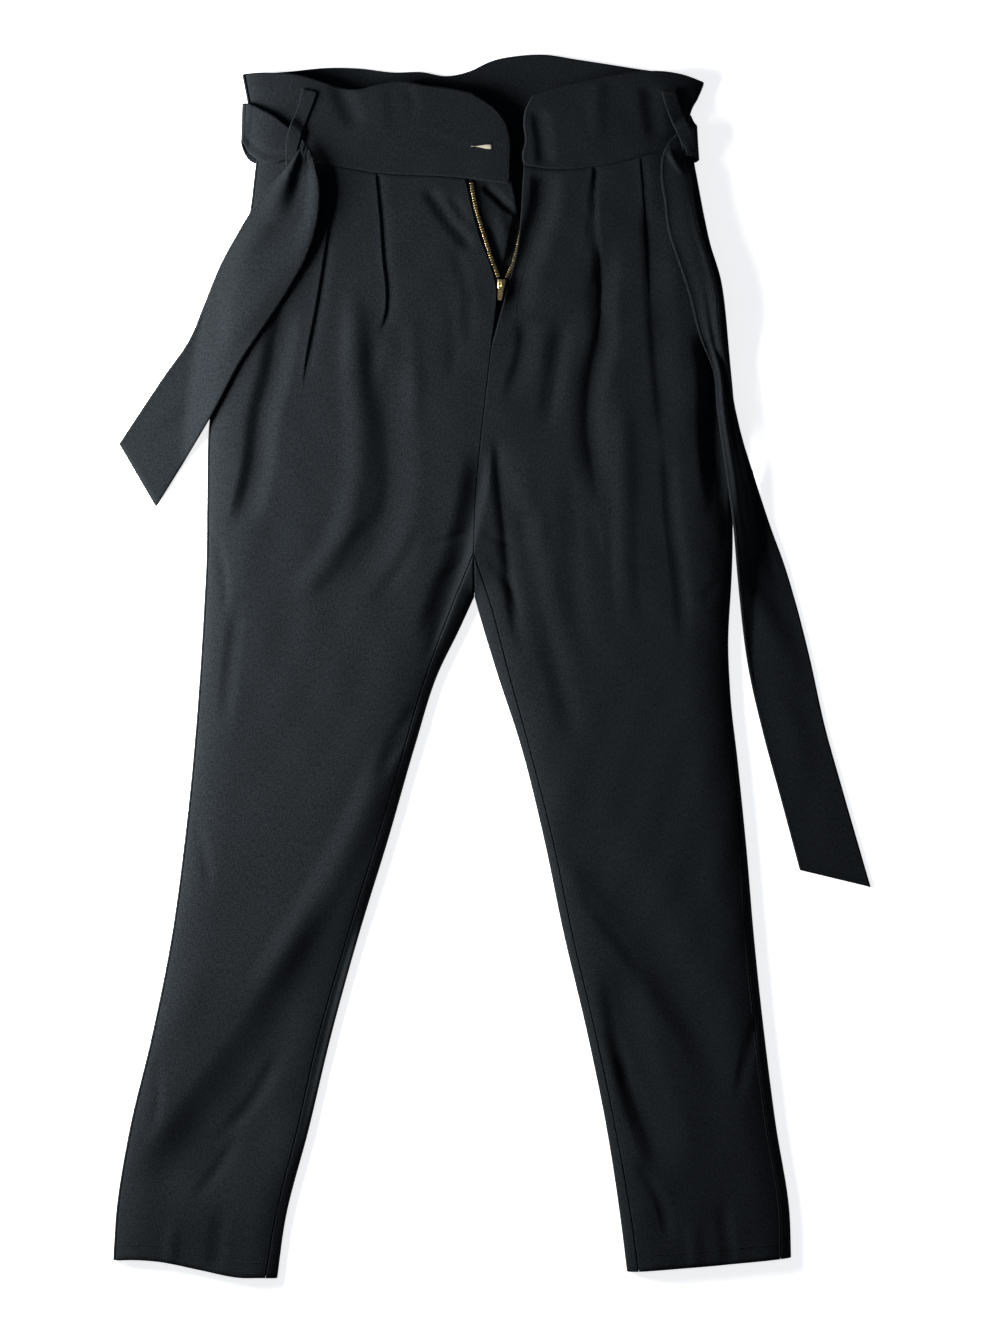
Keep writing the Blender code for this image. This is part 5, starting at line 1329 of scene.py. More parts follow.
# %% Tapes and shield
Fly = namedtuple("Fly", "y left_teeth right_teeth shield_right")
FLY = (
    Fly(412, -17.5, 30, 17),
    Fly(388, -13, 27.5, 22),
    Fly(365, -6, 23, 25.5),
    Fly(343, 1, 17.5, 24),
    Fly(326, 7, 9.6, 21),
    Fly(296, 4.2, 4.6, 14.5),
    Fly(273, 0.8, 1.2, 7),
)
FLY_ROWS = 92
LEFT_TAPE_TOP = 418.0
RIGHT_TAPE_TOP = 429.0
TAPE_WIDTH = 11.0
TAPE_PAST_TEETH = 0.8
TAPE_DROP = 1.7
TAPE_COLUMNS = 9
SHIELD_UP = 7.0
SHIELD_DROP = 3.7
SHIELD_UNDER_TAPE = 9.0
SHIELD_COLUMNS = 26
SLIDER_LOW, SLIDER_HIGH = 318.0, 326.0
SHIELD_FOLDS = (
    Fold("wrinkle under the band", 3.2, 4.5, 7, 6, 8,
         ((-9, 409), (2, 400), (11, 391), (23, 383))),
    Fold("wrinkle to the slider", 1.6, 4, 6, 10, 10, ((-6, 378), (1, 362), (6, 348), (9, 334))),
    Fold("swell of the shield", -1.2, 7, 8, 14, 16, ((2, 390), (9, 374), (13, 356))),
)
SHIELD_STEP = 6.0


def fly_at(name, y):
    """One of the fly's lines, read at any height."""
    return curve([-row.y for row in FLY], [getattr(row, name) for row in FLY],
                 -np.asarray(y, float))


def apart_at(y):
    """1 above the slider, where the two rows of teeth stand apart, and 0 below it."""
    return ease(SLIDER_LOW, SLIDER_HIGH, y)


def teeth_x(side, y):
    """Where the teeth of one tape stand."""
    left, right = fly_at("left_teeth", y), fly_at("right_teeth", y)
    return np.where(side < 0, left, right) * apart_at(y) + (left + right) / 2 * (1 - apart_at(y))


def fly_layer(rows, tree, drop, wall, folds=()):
    """Rows of places on a layer a set distance under the front's middle."""
    grid = raised(rows, front_height)
    grid[..., 2] -= drop
    for fold, line in folds:
        grid[..., 2] -= trough(fold, line, grid[..., 0], grid[..., 1])
    return tucked_under(grid, tree, wall / 2 + GAP + SLACK)


def zip_tape(name, side, top_y):
    """One zip tape, sewn under the edge of its front panel."""
    ys = np.linspace(top_y, FLY[-1].y, FLY_ROWS)
    rows = []
    for y, teeth, apart in zip(ys, teeth_x(side, ys), apart_at(ys)):
        edge = teeth - side * (TAPE_PAST_TEETH * apart - GAP / 2 * (1 - apart))
        rows.append([(x, y) for x in np.linspace(edge, teeth + side * TAPE_WIDTH, TAPE_COLUMNS)])
    return shell(name, fly_layer(rows, front_tree, TAPE_DROP, TAPE_WALL), TAPE_WALL, BLACK_TAPE)


def shield(name, tree):
    """The shield of cloth behind both tapes."""
    ys = np.linspace(FLY[0].y + SHIELD_UP, FLY[-1].y, FLY_ROWS)
    rows = [[(x, y) for x in np.linspace(left - SHIELD_UNDER_TAPE, right, SHIELD_COLUMNS)]
            for y, left, right in zip(ys, fly_at("left_teeth", ys), fly_at("shield_right", ys))]
    grid = fly_layer(rows, tree, SHIELD_DROP, SHIELD_WALL, lines_of(SHIELD_FOLDS, SHIELD_STEP))
    return shell(name, grid, SHIELD_WALL, BLACK_CREPE)


tape_left = zip_tape("zip_tape_left_woven", -1.0, LEFT_TAPE_TOP)
tape_right = zip_tape("zip_tape_right_woven", 1.0, RIGHT_TAPE_TOP)
fly_shield = shield("fly_shield_cloth", tree_of(fronts + [tape_left, tape_right]))
print("fly from", FLY[-1].y, "to", RIGHT_TAPE_TOP)

# %% [markdown]
# ## Belt
# The tie belt is one long flat tube of cloth. It runs under the back, comes round each
# side, passes under a loop and falls in a free end. It is modelled a stretch at a
# time, from a short table of edges across it. The free ends roll a little, with one
# edge lifted, and a few slanting creases show where the belt was tied before.

# %% Belt and loops
# Free ends: both edges, the crest's place across them and its lift
Strip = namedtuple("Strip", "left_x left_y right_x right_y crest lift")
LEFT_TAIL = (
    Strip(-165.2, 431.8, -160.4, 446, 0.5, 0),
    Strip(-169, 427.8, -156, 441.2, 0.6, 0.6),
    Strip(-175, 421, -151.5, 433, 0.95, 1.6),
    Strip(-183.5, 412.5, -148.5, 422, 1, 2.2),
    Strip(-192, 402.5, -145.5, 408, 1, 2.4),
    Strip(-200, 393, -145.3, 392, 0.95, 2.2),
    Strip(-207, 383.5, -148, 374, 0.85, 1.8),
    Strip(-216, 369, -156, 349, 0.7, 1.5),
    Strip(-230.5, 343.5, -172.5, 319, 0.5, 1),
    Strip(-245, 309.5, -194.5, 286, 0.5, 0.8),
    Strip(-256.5, 281.5, -211, 262, 0.5, 0.6),
    Strip(-280.5, 246, -236.5, 216, 0.5, 0.4),
    Strip(-304.5, 210, -260, 178, 0.5, 0.2),
    Strip(-318, 189.5, -286.5, 135.5, 0.5, 0),
)
RIGHT_TAIL = (
    Strip(157.2, 452, 162.2, 434, 0.5, 0),
    Strip(151.5, 446.5, 163, 432, 0.5, 0.4),
    Strip(147, 439.5, 164, 429, 0.5, 1),
    Strip(144, 431, 165.5, 424.5, 0.6, 1.5),
    Strip(143, 417.5, 168.5, 417.5, 0.8, 2),
    Strip(146, 395.5, 172, 395.5, 0.85, 2.5),
    Strip(149.5, 369, 177.5, 369, 0.85, 3),
    Strip(156.5, 347, 185, 347, 0.85, 3.5),
    Strip(166.5, 317, 192.5, 317, 0.85, 4),
    Strip(176, 280.5, 196, 279, 0.7, 4.5),
    Strip(188, 250, 202, 247.5, 0.4, 4.5),
    Strip(191, 218, 207.5, 216, 0.3, 4.5),
    Strip(194.5, 192.5, 213, 194, 0.25, 4.5),
    Strip(200, 155, 223.5, 161.5, 0.2, 5),
    Strip(205, 116, 238, 117.5, 0.2, 6),
    Strip(208, 82, 249.5, 86, 0.2, 5),
    Strip(211, 53.5, 258, 58, 0.3, 3.5),
    Strip(217.5, 3.5, 270.5, 9.5, 0.45, 2),
    Strip(231, -57, 284, -51.5, 0.5, 1.2),
    Strip(245.5, -110.5, 298.5, -103.5, 0.5, 0.6),
    Strip(262.5, -174, 323, -188.5, 0.5, 0),
)

# Belt round each side: from the floor, round the edge and in under the loop. Where it
# lies on the waistband, z is left open.
Turn = namedtuple("Turn", "x z low_y high_y")
LEFT_TURN = (
    Turn(-194, 0.8, 426, 480),
    Turn(-205, 0.8, 430, 480),
    Turn(-210.6, 1.5, 436, 479.5),
    Turn(-212.9, 4, 443, 479.5),
    Turn(-213, 7.4, 446, 479),
    Turn(-211.2, 10.8, 443.5, 478.5),
    Turn(-206.5, None, 436.5, 476.5),
    Turn(-198.5, None, 430.5, 472),
    Turn(-190, None, 427, 467),
    Turn(-181, None, 427.5, 460.5),
    Turn(-172, None, 430, 453.5),
    Turn(-163.2, None, 432, 446.2),
)
RIGHT_TURN = (
    Turn(155, 0.8, 426, 480),
    Turn(168, 0.8, 427.5, 472),
    Turn(172.2, 1.4, 429, 465),
    Turn(174.6, 3.8, 430, 461.5),
    Turn(174.8, 7.2, 430.5, 459.5),
    Turn(173.2, 10.4, 431.5, 458),
    Turn(169.5, None, 432.5, 456),
    Turn(165, None, 433.5, 454),
    Turn(160.2, None, 434.2, 452),
)
# How far the last row leans in X for each millimetre of Y, to meet the free end
LEFT_CUT_SLOPE = 0.31
RIGHT_CUT_SLOPE = -0.29

# Belt loops: centre line and width, from the upper end down
Loop = namedtuple("Loop", "x y width")
LEFT_LOOP = (
    Loop(-154.5, 488.5, 13.5),
    Loop(-157.5, 478, 12.5),
    Loop(-161.5, 467, 11.5),
    Loop(-166, 455, 12),
    Loop(-169, 443, 11.5),
    Loop(-170.2, 433, 9.5),
    Loop(-170.5, 424.5, 9),
)
RIGHT_LOOP = (
    Loop(150, 488.8, 12.5),
    Loop(152.5, 479, 12.5),
    Loop(157, 467, 12.5),
    Loop(162, 455.5, 12.5),
    Loop(166.3, 446, 12),
    Loop(169, 439, 9.8),
    Loop(169.7, 433.5, 9),
)
print("belt tails", len(LEFT_TAIL), "and", len(RIGHT_TAIL), "sections")

# %% Creases of the free ends
# along: 0 at the loop, 1 at the cut end. across: 0 at the left edge, 1 at the right.
Crease = namedtuple("Crease", "depth start_along start_across end_along end_across width")
LEFT_TAIL_CREASES = (
    Crease(-5.6, 0.06, 0.94, 0.60, 0.97, 0.13),
    Crease(-5, 0.04, 0.26, 0.50, 0.34, 0.18),
    Crease(3.8, 0.05, 0.50, 0.42, 0.56, 0.12),
    Crease(1.8, 0.42, 0.62, 0.64, 0.52, 0.17),
    Crease(-1.6, 0.46, 0.30, 0.66, 0.08, 0.13),
    Crease(-1.2, 0.56, 0.95, 0.78, 0.55, 0.16),
    Crease(0.9, 0.66, 0.1, 0.80, 0.7, 0.13),
    Crease(0.8, 0.82, 0.85, 0.95, 0.35, 0.12),
)
RIGHT_TAIL_CREASES = (
    Crease(-1.8, 0.08, 0.10, 0.20, 0.85, 0.12),
    Crease(-2.6, 0.22, 0.95, 0.66, 0.92, 0.14),
    Crease(1.4, 0.36, 0.62, 0.62, 0.55, 0.10),
    Crease(-1.5, 0.45, 0.46, 0.75, 0.20, 0.09),
    Crease(-1.3, 0.50, 0.80, 0.72, 0.52, 0.08),
    Crease(-1.2, 0.60, 0.98, 0.80, 0.86, 0.12),
    Crease(0.9, 0.74, 0.05, 0.82, 0.8, 0.11),
    Crease(-0.7, 0.78, 0.1, 0.86, 0.9, 0.13),
    Crease(0.7, 0.84, 0.2, 0.91, 0.95, 0.12),
    Crease(0.5, 0.92, 0.85, 0.97, 0.2, 0.12),
)

# Rows between two table rows, and points across a free end
TAIL_ROWS = 7
TAIL_COLUMNS = 19
CREST_REACH = 0.45
CREST_WIDENS = 0.8
ACROSS_WEIGHT = 0.15
CREASE_SPREAD = 1.6
CREASE_LIFT = 0.4
CREASE_ENDS = (0.04, 0.96)


def strip_grid(rows):
    """Points across a strip whose edges, crest and lift come from a short table."""
    knots = chord_knots([((row.left_x + row.right_x) / 2, (row.left_y + row.right_y) / 2)
                         for row in rows])
    at = divided(knots, [TAIL_ROWS] * (len(rows) - 1))
    left_x, left_y, right_x, right_y, crest, lift = (
        column[:, None] for column in columns_at(rows, knots, at))
    part = np.linspace(0.0, 1.0, TAIL_COLUMNS)[None, :]
    bell = np.clip(1 - abs(part - crest) / (CREST_REACH + abs(crest - 0.5) * CREST_WIDENS),
                   0.0, 1.0)
    return np.stack((left_x + part * (right_x - left_x), left_y + part * (right_y - left_y),
                     lift * bell * bell * (3 - 2 * bell)), 2)


def strip_creases(shape, creases):
    """Slanting creases over a strip, both directions taken from 0 to 1."""
    place = np.linspace(0.0, 1.0, shape[0])[:, None] + np.zeros(shape)
    across = np.linspace(0.0, 1.0, shape[1])[None, :] + np.zeros(shape)
    total = np.zeros(shape)
    for crease in creases:
        run = np.array((crease.end_along - crease.start_along,
                        (crease.end_across - crease.start_across) * ACROSS_WEIGHT))
        dx = place - crease.start_along
        dy = (across - crease.start_across) * ACROSS_WEIGHT
        t = np.clip((dx * run[0] + dy * run[1]) / (run @ run), 0.0, 1.0)
        distance = np.hypot(dx - t * run[0], dy - t * run[1]) / ACROSS_WEIGHT
        bell = np.clip(1 - (distance / (crease.width * CREASE_SPREAD)) ** 2, 0.0, 1.0) ** 2
        total -= crease.depth * bell * np.sin(math.pi * np.clip(t, *CREASE_ENDS))
    return total


def belt_tail(name, rows, creases, support):
    """A free end of the belt, lying over the hip and then on the floor."""
    grid = strip_grid(rows)
    low = draped(grid, support, BELT_WALL)
    folds = strip_creases(grid.shape[:2], creases)
    grid[..., 2] = np.maximum(low, low + grid[..., 2] + folds - folds.min() * CREASE_LIFT)
    return shell(name, grid, BELT_WALL, BLACK_CREPE)

# %% The belt round the sides and behind
TURN_ROWS = 5
TURN_ACROSS = 17
TURN_SWELL = 2.2
SWELL_FROM = 0.45
TURN_CREASE = 1.3
CREASE_PART = 0.34
CREASE_SLANT = 0.2
CREASE_WIDTH = 0.06
SWELL_LEAST = 0.9
SWELL_FADE = (0.4, 0.6)
BACK_COLUMNS = 90
BACK_ROWS = 15


def turn_swell(part, place):
    """How far the belt swells off the waistband, with one crease along it."""
    swell = TURN_SWELL * np.sin(math.pi * ease(SWELL_FROM, 1.0, place)) * part
    off_crease = (part - CREASE_PART + CREASE_SLANT * place) / CREASE_WIDTH
    swell = swell - TURN_CREASE * np.exp(-off_crease ** 2)
    return np.maximum(0.0, swell + TURN_CREASE * SWELL_LEAST) * ease(*SWELL_FADE, place)


def smoothed(grid, start, end):
    """Eases the step between the rows that turn and the rows that lie on cloth."""
    low, high = grid[start, :, 2].copy(), grid[end, :, 2].copy()
    for row in range(start + 1, end):
        t = (row - start) / (end - start)
        grid[row, :, 2] = low + (high - low) * math.sin(t * math.pi / 2)
    grid[..., 2] = np.maximum(grid[..., 2], BELT_WALL / 2)
    return grid


def belt_turn(name, rows, cut_slope, support):
    """The belt from the floor, round the waist's edge and in under the loop."""
    table = np.array([[row.x, row.z or 0.0, row.low_y, row.high_y, row.z is None]
                      for row in rows], float)
    at = np.linspace(0.0, len(rows) - 1, (len(rows) - 1) * TURN_ROWS + 1)
    x, z, low_y, high_y, lies = columns_at(table, range(len(rows)), at)
    middle = (rows[-1].low_y + rows[-1].high_y) / 2
    lean = cut_slope * (at / at[-1]) ** 2
    part = np.linspace(0.0, 1.0, TURN_ACROSS)[None, :]
    y = low_y[:, None] + part * (high_y - low_y)[:, None]
    grid = np.stack((x[:, None] + lean[:, None] * (y - middle), y,
                     z[:, None] + np.zeros(y.shape)), 2)
    height = draped(grid, support, BELT_WALL) + turn_swell(part, (at / at[-1])[:, None])
    lying = ease(0.0, 1.0, lies)[:, None] > 0.5
    grid[..., 2] = np.where(lying, height, grid[..., 2])
    first = int(np.argmax(table[:, 4] > 0))
    grid = smoothed(grid, (first - 1) * TURN_ROWS, first * TURN_ROWS)
    return shell(name, grid, BELT_WALL, BLACK_CREPE)


def belt_back(name):
    """The belt's hidden stretch, flat on the floor under the back waistband."""
    xs = np.linspace(LEFT_TURN[0].x + GAP, RIGHT_TURN[0].x - GAP, BACK_COLUMNS)
    ys = np.linspace(LEFT_TURN[0].low_y, LEFT_TURN[0].high_y, BACK_ROWS)
    grid = [[(x, y, BELT_WALL / 2) for x in xs] for y in ys]
    return shell(name, grid, BELT_WALL, BLACK_CREPE)


belt_behind = belt_back("belt_back_cloth")
belt_left = belt_turn("belt_side_left_cloth", LEFT_TURN, LEFT_CUT_SLOPE, front_tree)
belt_right = belt_turn("belt_side_right_cloth", RIGHT_TURN, RIGHT_CUT_SLOPE, front_tree)

# %% Belt loops and the free ends over them
LOOP_ROWS = 49
LOOP_COLUMNS = 9


def belt_loop(name, rows, support):
    """A loop sewn at both ends, arched over the belt."""
    knots = chord_knots([(row.x, row.y) for row in rows])
    at = np.linspace(0.0, knots[-1], LOOP_ROWS)
    xs, ys, widths = columns_at(rows, knots, at)
    run = unit(np.stack((np.gradient(xs), np.gradient(ys)), 1))
    across = np.stack((-run[:, 1], run[:, 0]), 1) * widths[:, None]
    part = np.linspace(-0.5, 0.5, LOOP_COLUMNS)[None, :, None]
    flat = np.stack((xs, ys), 1)[:, None] + part * across[:, None]
    height = draped(flat, support, LOOP_WALL)
    return shell(name, np.concatenate((flat, height[..., None]), 2), LOOP_WALL, BLACK_CREPE)


loop_left = belt_loop("belt_loop_left_cloth", LEFT_LOOP, tree_of(fronts + [belt_left]))
loop_right = belt_loop("belt_loop_right_cloth", RIGHT_LOOP, tree_of(fronts + [belt_right]))
tail_left = belt_tail("belt_tail_left_cloth", LEFT_TAIL, LEFT_TAIL_CREASES,
                      tree_of(fronts + backs + [loop_left]))
tail_right = belt_tail("belt_tail_right_cloth", RIGHT_TAIL, RIGHT_TAIL_CREASES,
                       tree_of(fronts + backs))

# %% [markdown]
# ## Small things that repeat
# A stitch and a zip tooth are each modelled once, and copied along a line. Each copy
# is set by its place on the cloth, the way that the line runs and the way that the
# cloth faces, so that the stitches lie on the folds as real ones do.

# %% Modelling helpers
LINE_STEP = 2.0


def only(thing):
    """Selects one object alone and makes it active."""
    bpy.ops.object.select_all(action="DESELECT")
    thing.select_set(True)
    bpy.context.view_layer.objects.active = thing


def block(size, place=(0.0, 0.0, 0.0)):
    """A plain block at a place, both in millimetres."""
    bpy.ops.object.select_all(action="DESELECT")
    bpy.ops.mesh.primitive_cube_add(size=1.0, location=[value * MM for value in place])
    thing = bpy.context.active_object
    thing.scale = [side * MM for side in size]
    bpy.ops.object.transform_apply(location=True, rotation=False, scale=True)
    return thing


def edit_all(work, **settings):
    """Runs one operator of edit mode on the whole of the active mesh."""
    bpy.ops.object.mode_set(mode="EDIT")
    bpy.ops.mesh.select_all(action="SELECT")
    work(**settings)
    bpy.ops.object.mode_set(mode="OBJECT")


def rounded_block(size, bevel, segments):
    """A block with rounded edges."""
    thing = block(size)
    edit_all(bpy.ops.mesh.bevel, offset=bevel * MM, segments=segments, affect="EDGES")
    return thing


def repeated(name, master, places, finish):
    """Copies of a master mesh at many places, as one piece."""
    mesh = master.data
    points = np.zeros(len(mesh.vertices) * 3)
    mesh.vertices.foreach_get("co", points)
    points = points.reshape(-1, 3)
    faces = [list(face.vertices) for face in mesh.polygons]
    vertices, corners = [], []
    for number, (place, frame_of) in enumerate(places):
        vertices.append(points @ frame_of + place)
        corners.extend([corner + number * len(points) for corner in face] for face in faces)
    copy = bpy.data.meshes.new(name)
    copy.from_pydata(np.vstack(vertices).tolist(), [], corners)
    copy.update()
    copy.shade_smooth()
    copy.materials.append(finish)
    piece = bpy.data.objects.new(name, copy)
    bpy.context.scene.collection.objects.link(piece)
    print(name, len(places), "copies")
    return piece


def frames_along(line, pitch, tree, from_above, lift):
    """Places every pitch along a line, cast onto the cloth, with their directions."""
    line = line_through(line, LINE_STEP)
    length = chord_knots(line)
    at = np.arange(pitch / 2, length[-1], pitch)
    xs, ys = (np.interp(at, length, line[:, axis]) for axis in (0, 1))
    start, way = (ABOVE_ALL, DOWN) if from_above else (BELOW_ALL, UP)
    found = []
    for x, y in zip(xs, ys):
        hit, normal = tree.ray_cast(Vector((x, y, start)), way)[:2]
        found.append(None if hit is None else (np.array(hit), np.array(normal)))
    places = []
    for before, now, after in zip([None] + found[:-1], found, found[1:] + [None]):
        if now is None:
            continue
        first = now if before is None else before
        last = now if after is None else after
        run = last[0] - first[0]
        up = now[1] if now[1][2] * way.z < 0 else -now[1]
        run = unit(run - up * (run @ up))
        side = np.cross(up, run)
        middle = (now[0] + up * lift + SHIFT) * MM
        places.append((middle, np.stack((run, side, up))))
    return places

# %% A stitch, modelled once
STITCH = (2.3, 0.55, 0.42)
STITCH_EDGE = 0.16
STITCH_PITCH = 2.9
STITCH_LIFT = 0.06
# On the underside the stitches are sunk, so that they stay off the table
BACK_STITCH_LIFT = STITCH_LIFT - 0.36
stitch = rounded_block(STITCH, STITCH_EDGE, 1)
print("a stitch has", len(stitch.data.polygons), "faces")

# %% [markdown]
# Rows of stitching show where the garment is sewn: along the edge of the waistband,
# over the waist seam, round the hems, down the fly, along the belt's edges and across
# the ends of the loops. Each row is a line on the pattern, and a helper moves an edge
# line inwards by the width of the margin.

# %% Lines of stitching
EDGE_MARGIN = 1.8
HEM_DEPTH = 13.5
BAR_PITCH = 0.8
# Parts of an edge that a line of stitching covers
END_PARTS = np.linspace(0.04, 0.97, 18)
HEM_PARTS = np.linspace(0.02, 0.985, 14)
ROUND_FROM = 0.6
ROUND_SHARE = 0.4
BAND_POINTS = 24
SEAM_POINTS = 40
ROWS_ABOVE = 2


def band_line(seam, top, height, start, end, offset):
    """A line across a waistband piece at a part of its height, offset in Y."""
    xs = np.linspace(start, end, BAND_POINTS)
    low = along(seam, xs)
    return list(zip(xs, low + height * (along(top, xs) - low) + offset))


def strip_edge(rows, side):
    """A line inside one edge of a free end, from below the loop to the cut end."""
    points = []
    for row in rows[ROWS_ABOVE:]:
        left, right = np.array((row.left_x, row.left_y)), np.array((row.right_x, row.right_y))
        inward = unit(right - left) * EDGE_MARGIN
        points.append(tuple(left + inward) if side < 0 else tuple(right - inward))
    return points


def front_end(end, seam, top, sign):
    """The line inside a waistband's end, from the seam to the top. Left: sign -1."""
    reach = along(end, END_PARTS)
    low = along(seam, reach)
    ys = low + END_PARTS * (along(top, reach) - low)
    lean = np.clip((END_PARTS - ROUND_FROM) / (1 - ROUND_FROM), 0.0, 1.0) * (sign < 0)
    xs = reach + sign * EDGE_MARGIN * (1 - ROUND_SHARE * lean)
    return list(zip(xs, ys - EDGE_MARGIN * lean))


def hem_line(sections, hem):
    """The hem's stitching, a set height over the hem's edge."""
    last = sections[-1]
    start = np.array((last.outer_x, last.outer_y))
    end = np.array((last.seam_x, last.seam_y))
    line = start + HEM_PARTS[:, None] * (end - start)
    return [(x, y + HEM_DEPTH + float(along(hem, x))) for x, y in line]


FLY_LINE = ((41, 421), (40.5, 395), (36.5, 373), (31, 351), (25.5, 331), (21.5, 311), (18.5, 294),
            (14.5, 281), (9.5, 274.5))
HEM_LINES = [hem_line(LEFT_SECTIONS, LEFT_HEM), hem_line(RIGHT_SECTIONS, RIGHT_HEM)]
BACK_SEAM_LINE = [(x, float(np.interp(x, *zip(*BACK_SEAM))) + EDGE_MARGIN)
                  for x in np.linspace(-192.0, 160.0, SEAM_POINTS)]
BAND_LINES = [
    band_line(LEFT_SEAM, LEFT_TOP, 1.0, -140.0, -22.0, -EDGE_MARGIN),
    front_end(LEFT_END, LEFT_SEAM, LEFT_TOP, -1.0),
    band_line(LEFT_SEAM, LEFT_TOP, 0.0, -142.0, 13.0, EDGE_MARGIN),
    band_line(RIGHT_SEAM, RIGHT_TOP, 1.0, 36.0, 150.0, -EDGE_MARGIN),
    front_end(RIGHT_END, RIGHT_SEAM, RIGHT_TOP, 1.0),
    band_line(RIGHT_SEAM, RIGHT_TOP, 0.0, 29.0, 156.0, EDGE_MARGIN),
]
print("lines of stitching on the band", len(BAND_LINES))

# %% Stitches along the lines
band_tree = tree_of([band_left, band_right])
ROWS_OF_STITCHES = (
    ([FLY_LINE], front_tree),
    ([strip_edge(LEFT_TAIL, side) for side in (-1, 1)], tree_of([tail_left])),
    ([strip_edge(RIGHT_TAIL, side) for side in (-1, 1)], tree_of([tail_right])),
    (BAND_LINES, band_tree),
    (HEM_LINES, front_tree),
)
# Bar tacks: short stitches side by side across a line, at the fly's foot and the loops
BARS = (
    ([((1.6, 272.6), (13, 271.6))], front_tree),
    ([((-160.5, 486), (-149, 488)), ((-174, 427.5), (-167, 428))],
     tree_of([loop_left])),
    ([((144.8, 487), (155.5, 486.4)), ((166, 436.5), (173, 436))],
     tree_of([loop_right])),
)


def turned(places):
    """The same places, each turned a quarter round so that it lies across its line."""
    return [(place, np.stack((axes[1], -axes[0], axes[2]))) for place, axes in places]


places = []
for lines, tree in ROWS_OF_STITCHES:
    for line in lines:
        places += frames_along(line, STITCH_PITCH, tree, True, STITCH_LIFT)
for lines, tree in BARS:
    for line in lines:
        places += turned(frames_along(line, BAR_PITCH, tree, True, STITCH_LIFT))
front_stitches = repeated("front_stitches", stitch, places, BLACK_THREAD)

back_tree = tree_of(fronts + backs)
places = []
for line in HEM_LINES + [BACK_SEAM_LINE]:
    places += frames_along(line, STITCH_PITCH, back_tree, False, BACK_STITCH_LIFT)
back_stitches = repeated("back_stitches", stitch, places, BLACK_THREAD)

# %% [markdown]
# ## Zip teeth
# Each tooth is a small cast block clamped over the tape's edge. Above the slider the
# two rows stand apart, half a pitch out of step. Below it the flap covers the closed
# zip, so no teeth are made there.

# %% Teeth
TOOTH = (3.0, 1.25, 1.7)
TOOTH_EDGE = 0.3
TOOTH_PITCH = 2.1
TOOTH_OUT = 0.3
TOOTH_LIFT = 0.35
LEFT_TEETH_TOP = 411.0
RIGHT_TEETH_TOP = 421.0
TEETH_LOW = 331.0
TEETH_POINTS = 40
tooth = rounded_block(TOOTH, TOOTH_EDGE, 2)


def teeth(name, side, tape, top_y, shift):
    """A row of teeth along one tape's edge."""
    ys = np.linspace(top_y, TEETH_LOW, TEETH_POINTS)
    line = list(zip(teeth_x(side, ys) + side * TOOTH_OUT, ys - shift))
    found = frames_along(line, TOOTH_PITCH, tree_of([tape]), True, TOOTH_LIFT)
    across = [(place, np.stack((axes[1], axes[0], axes[2]))) for place, axes in found]
    return repeated(name, tooth, across, PALE_GOLD)


teeth_left = teeth("zip_teeth_left", -1.0, tape_left, LEFT_TEETH_TOP, 0.0)
teeth_right = teeth("zip_teeth_right", 1.0, tape_right, RIGHT_TEETH_TOP, TOOTH_PITCH / 2)
for master in (stitch, tooth):
    bpy.data.objects.remove(master, do_unlink=True)

# %% [markdown]
# ## Slider and pull tab
# The slider is a cast body with a bridge, and the pull tab hangs on the bridge by a
# pin. The tab is the one part that moves by itself, so it rides on its own body. Both
# start as plain blocks, and are shaped point by point, cut and bevelled.

# %% Slider
HINGE = Vector(frame["joints"][0]["pos_m"])
SLIDER_TURN = math.radians(-6.0)
SLIDER_BODY = (7.0, 8.8, 2.0)
SLIDER_EDGE = 0.55
TAPER_FROM, TAPER_LENGTH, TAPER = 0.5, 3.9, 0.34
PIN_UP = 0.95
BRIDGE = (1.2, 4.3, 2.9)
BRIDGE_EDGE = 0.4
BRIDGE_UP = 1.1
SMOOTH_ANGLE = math.radians(35.0)


def set_at_slider(thing, height):
    """Turns a piece with the zip, sets it on the slider and applies its place."""
    thing.location = HINGE + UP * height * MM
    thing.rotation_euler = (0.0, 0.0, SLIDER_TURN)
    only(thing)
    bpy.ops.object.transform_apply(location=True, rotation=True, scale=True)
    bpy.ops.object.shade_smooth_by_angle(angle=SMOOTH_ANGLE)
    thing.data.materials.clear()
    thing.data.materials.append(PALE_GOLD)


slider = rounded_block(SLIDER_BODY, SLIDER_EDGE, 3)
slider.name = "zip_slider_cast"
for vertex in slider.data.vertices:
    taper = np.clip((-vertex.co.y / MM - TAPER_FROM) / TAPER_LENGTH, 0.0, 1.0)
    vertex.co.x *= 1 - TAPER * taper * taper
bridge = rounded_block(BRIDGE, BRIDGE_EDGE, 3)
for vertex in bridge.data.vertices:
    vertex.co.z += (SLIDER_BODY[2] / 2 + BRIDGE_UP) * MM
only(slider)
bridge.select_set(True)
bpy.ops.object.join()
set_at_slider(slider, -(SLIDER_BODY[2] / 2 + PIN_UP))
print("slider", [round(side / MM, 1) for side in slider.dimensions], "mm")

# %% Pull tab
PULL = (4.3, 14.0, 0.9)
PULL_CUTS = 7
PULL_PAST_PIN = 0.5
PULL_EDGE = 0.28
PULL_SEGMENTS = 3
# Shares of the tab's width at places down from the pin
PULL_PLACES = (-0.5, 1.5, 4.0, 6.5, 9.0, 13.5)
PULL_WIDTHS = (0.95, 1.0, 0.86, 1.02, 0.98, 0.66)
WINDOW = (2.1, 3.2, 3 * PULL[2])
WINDOW_DOWN = 1.6


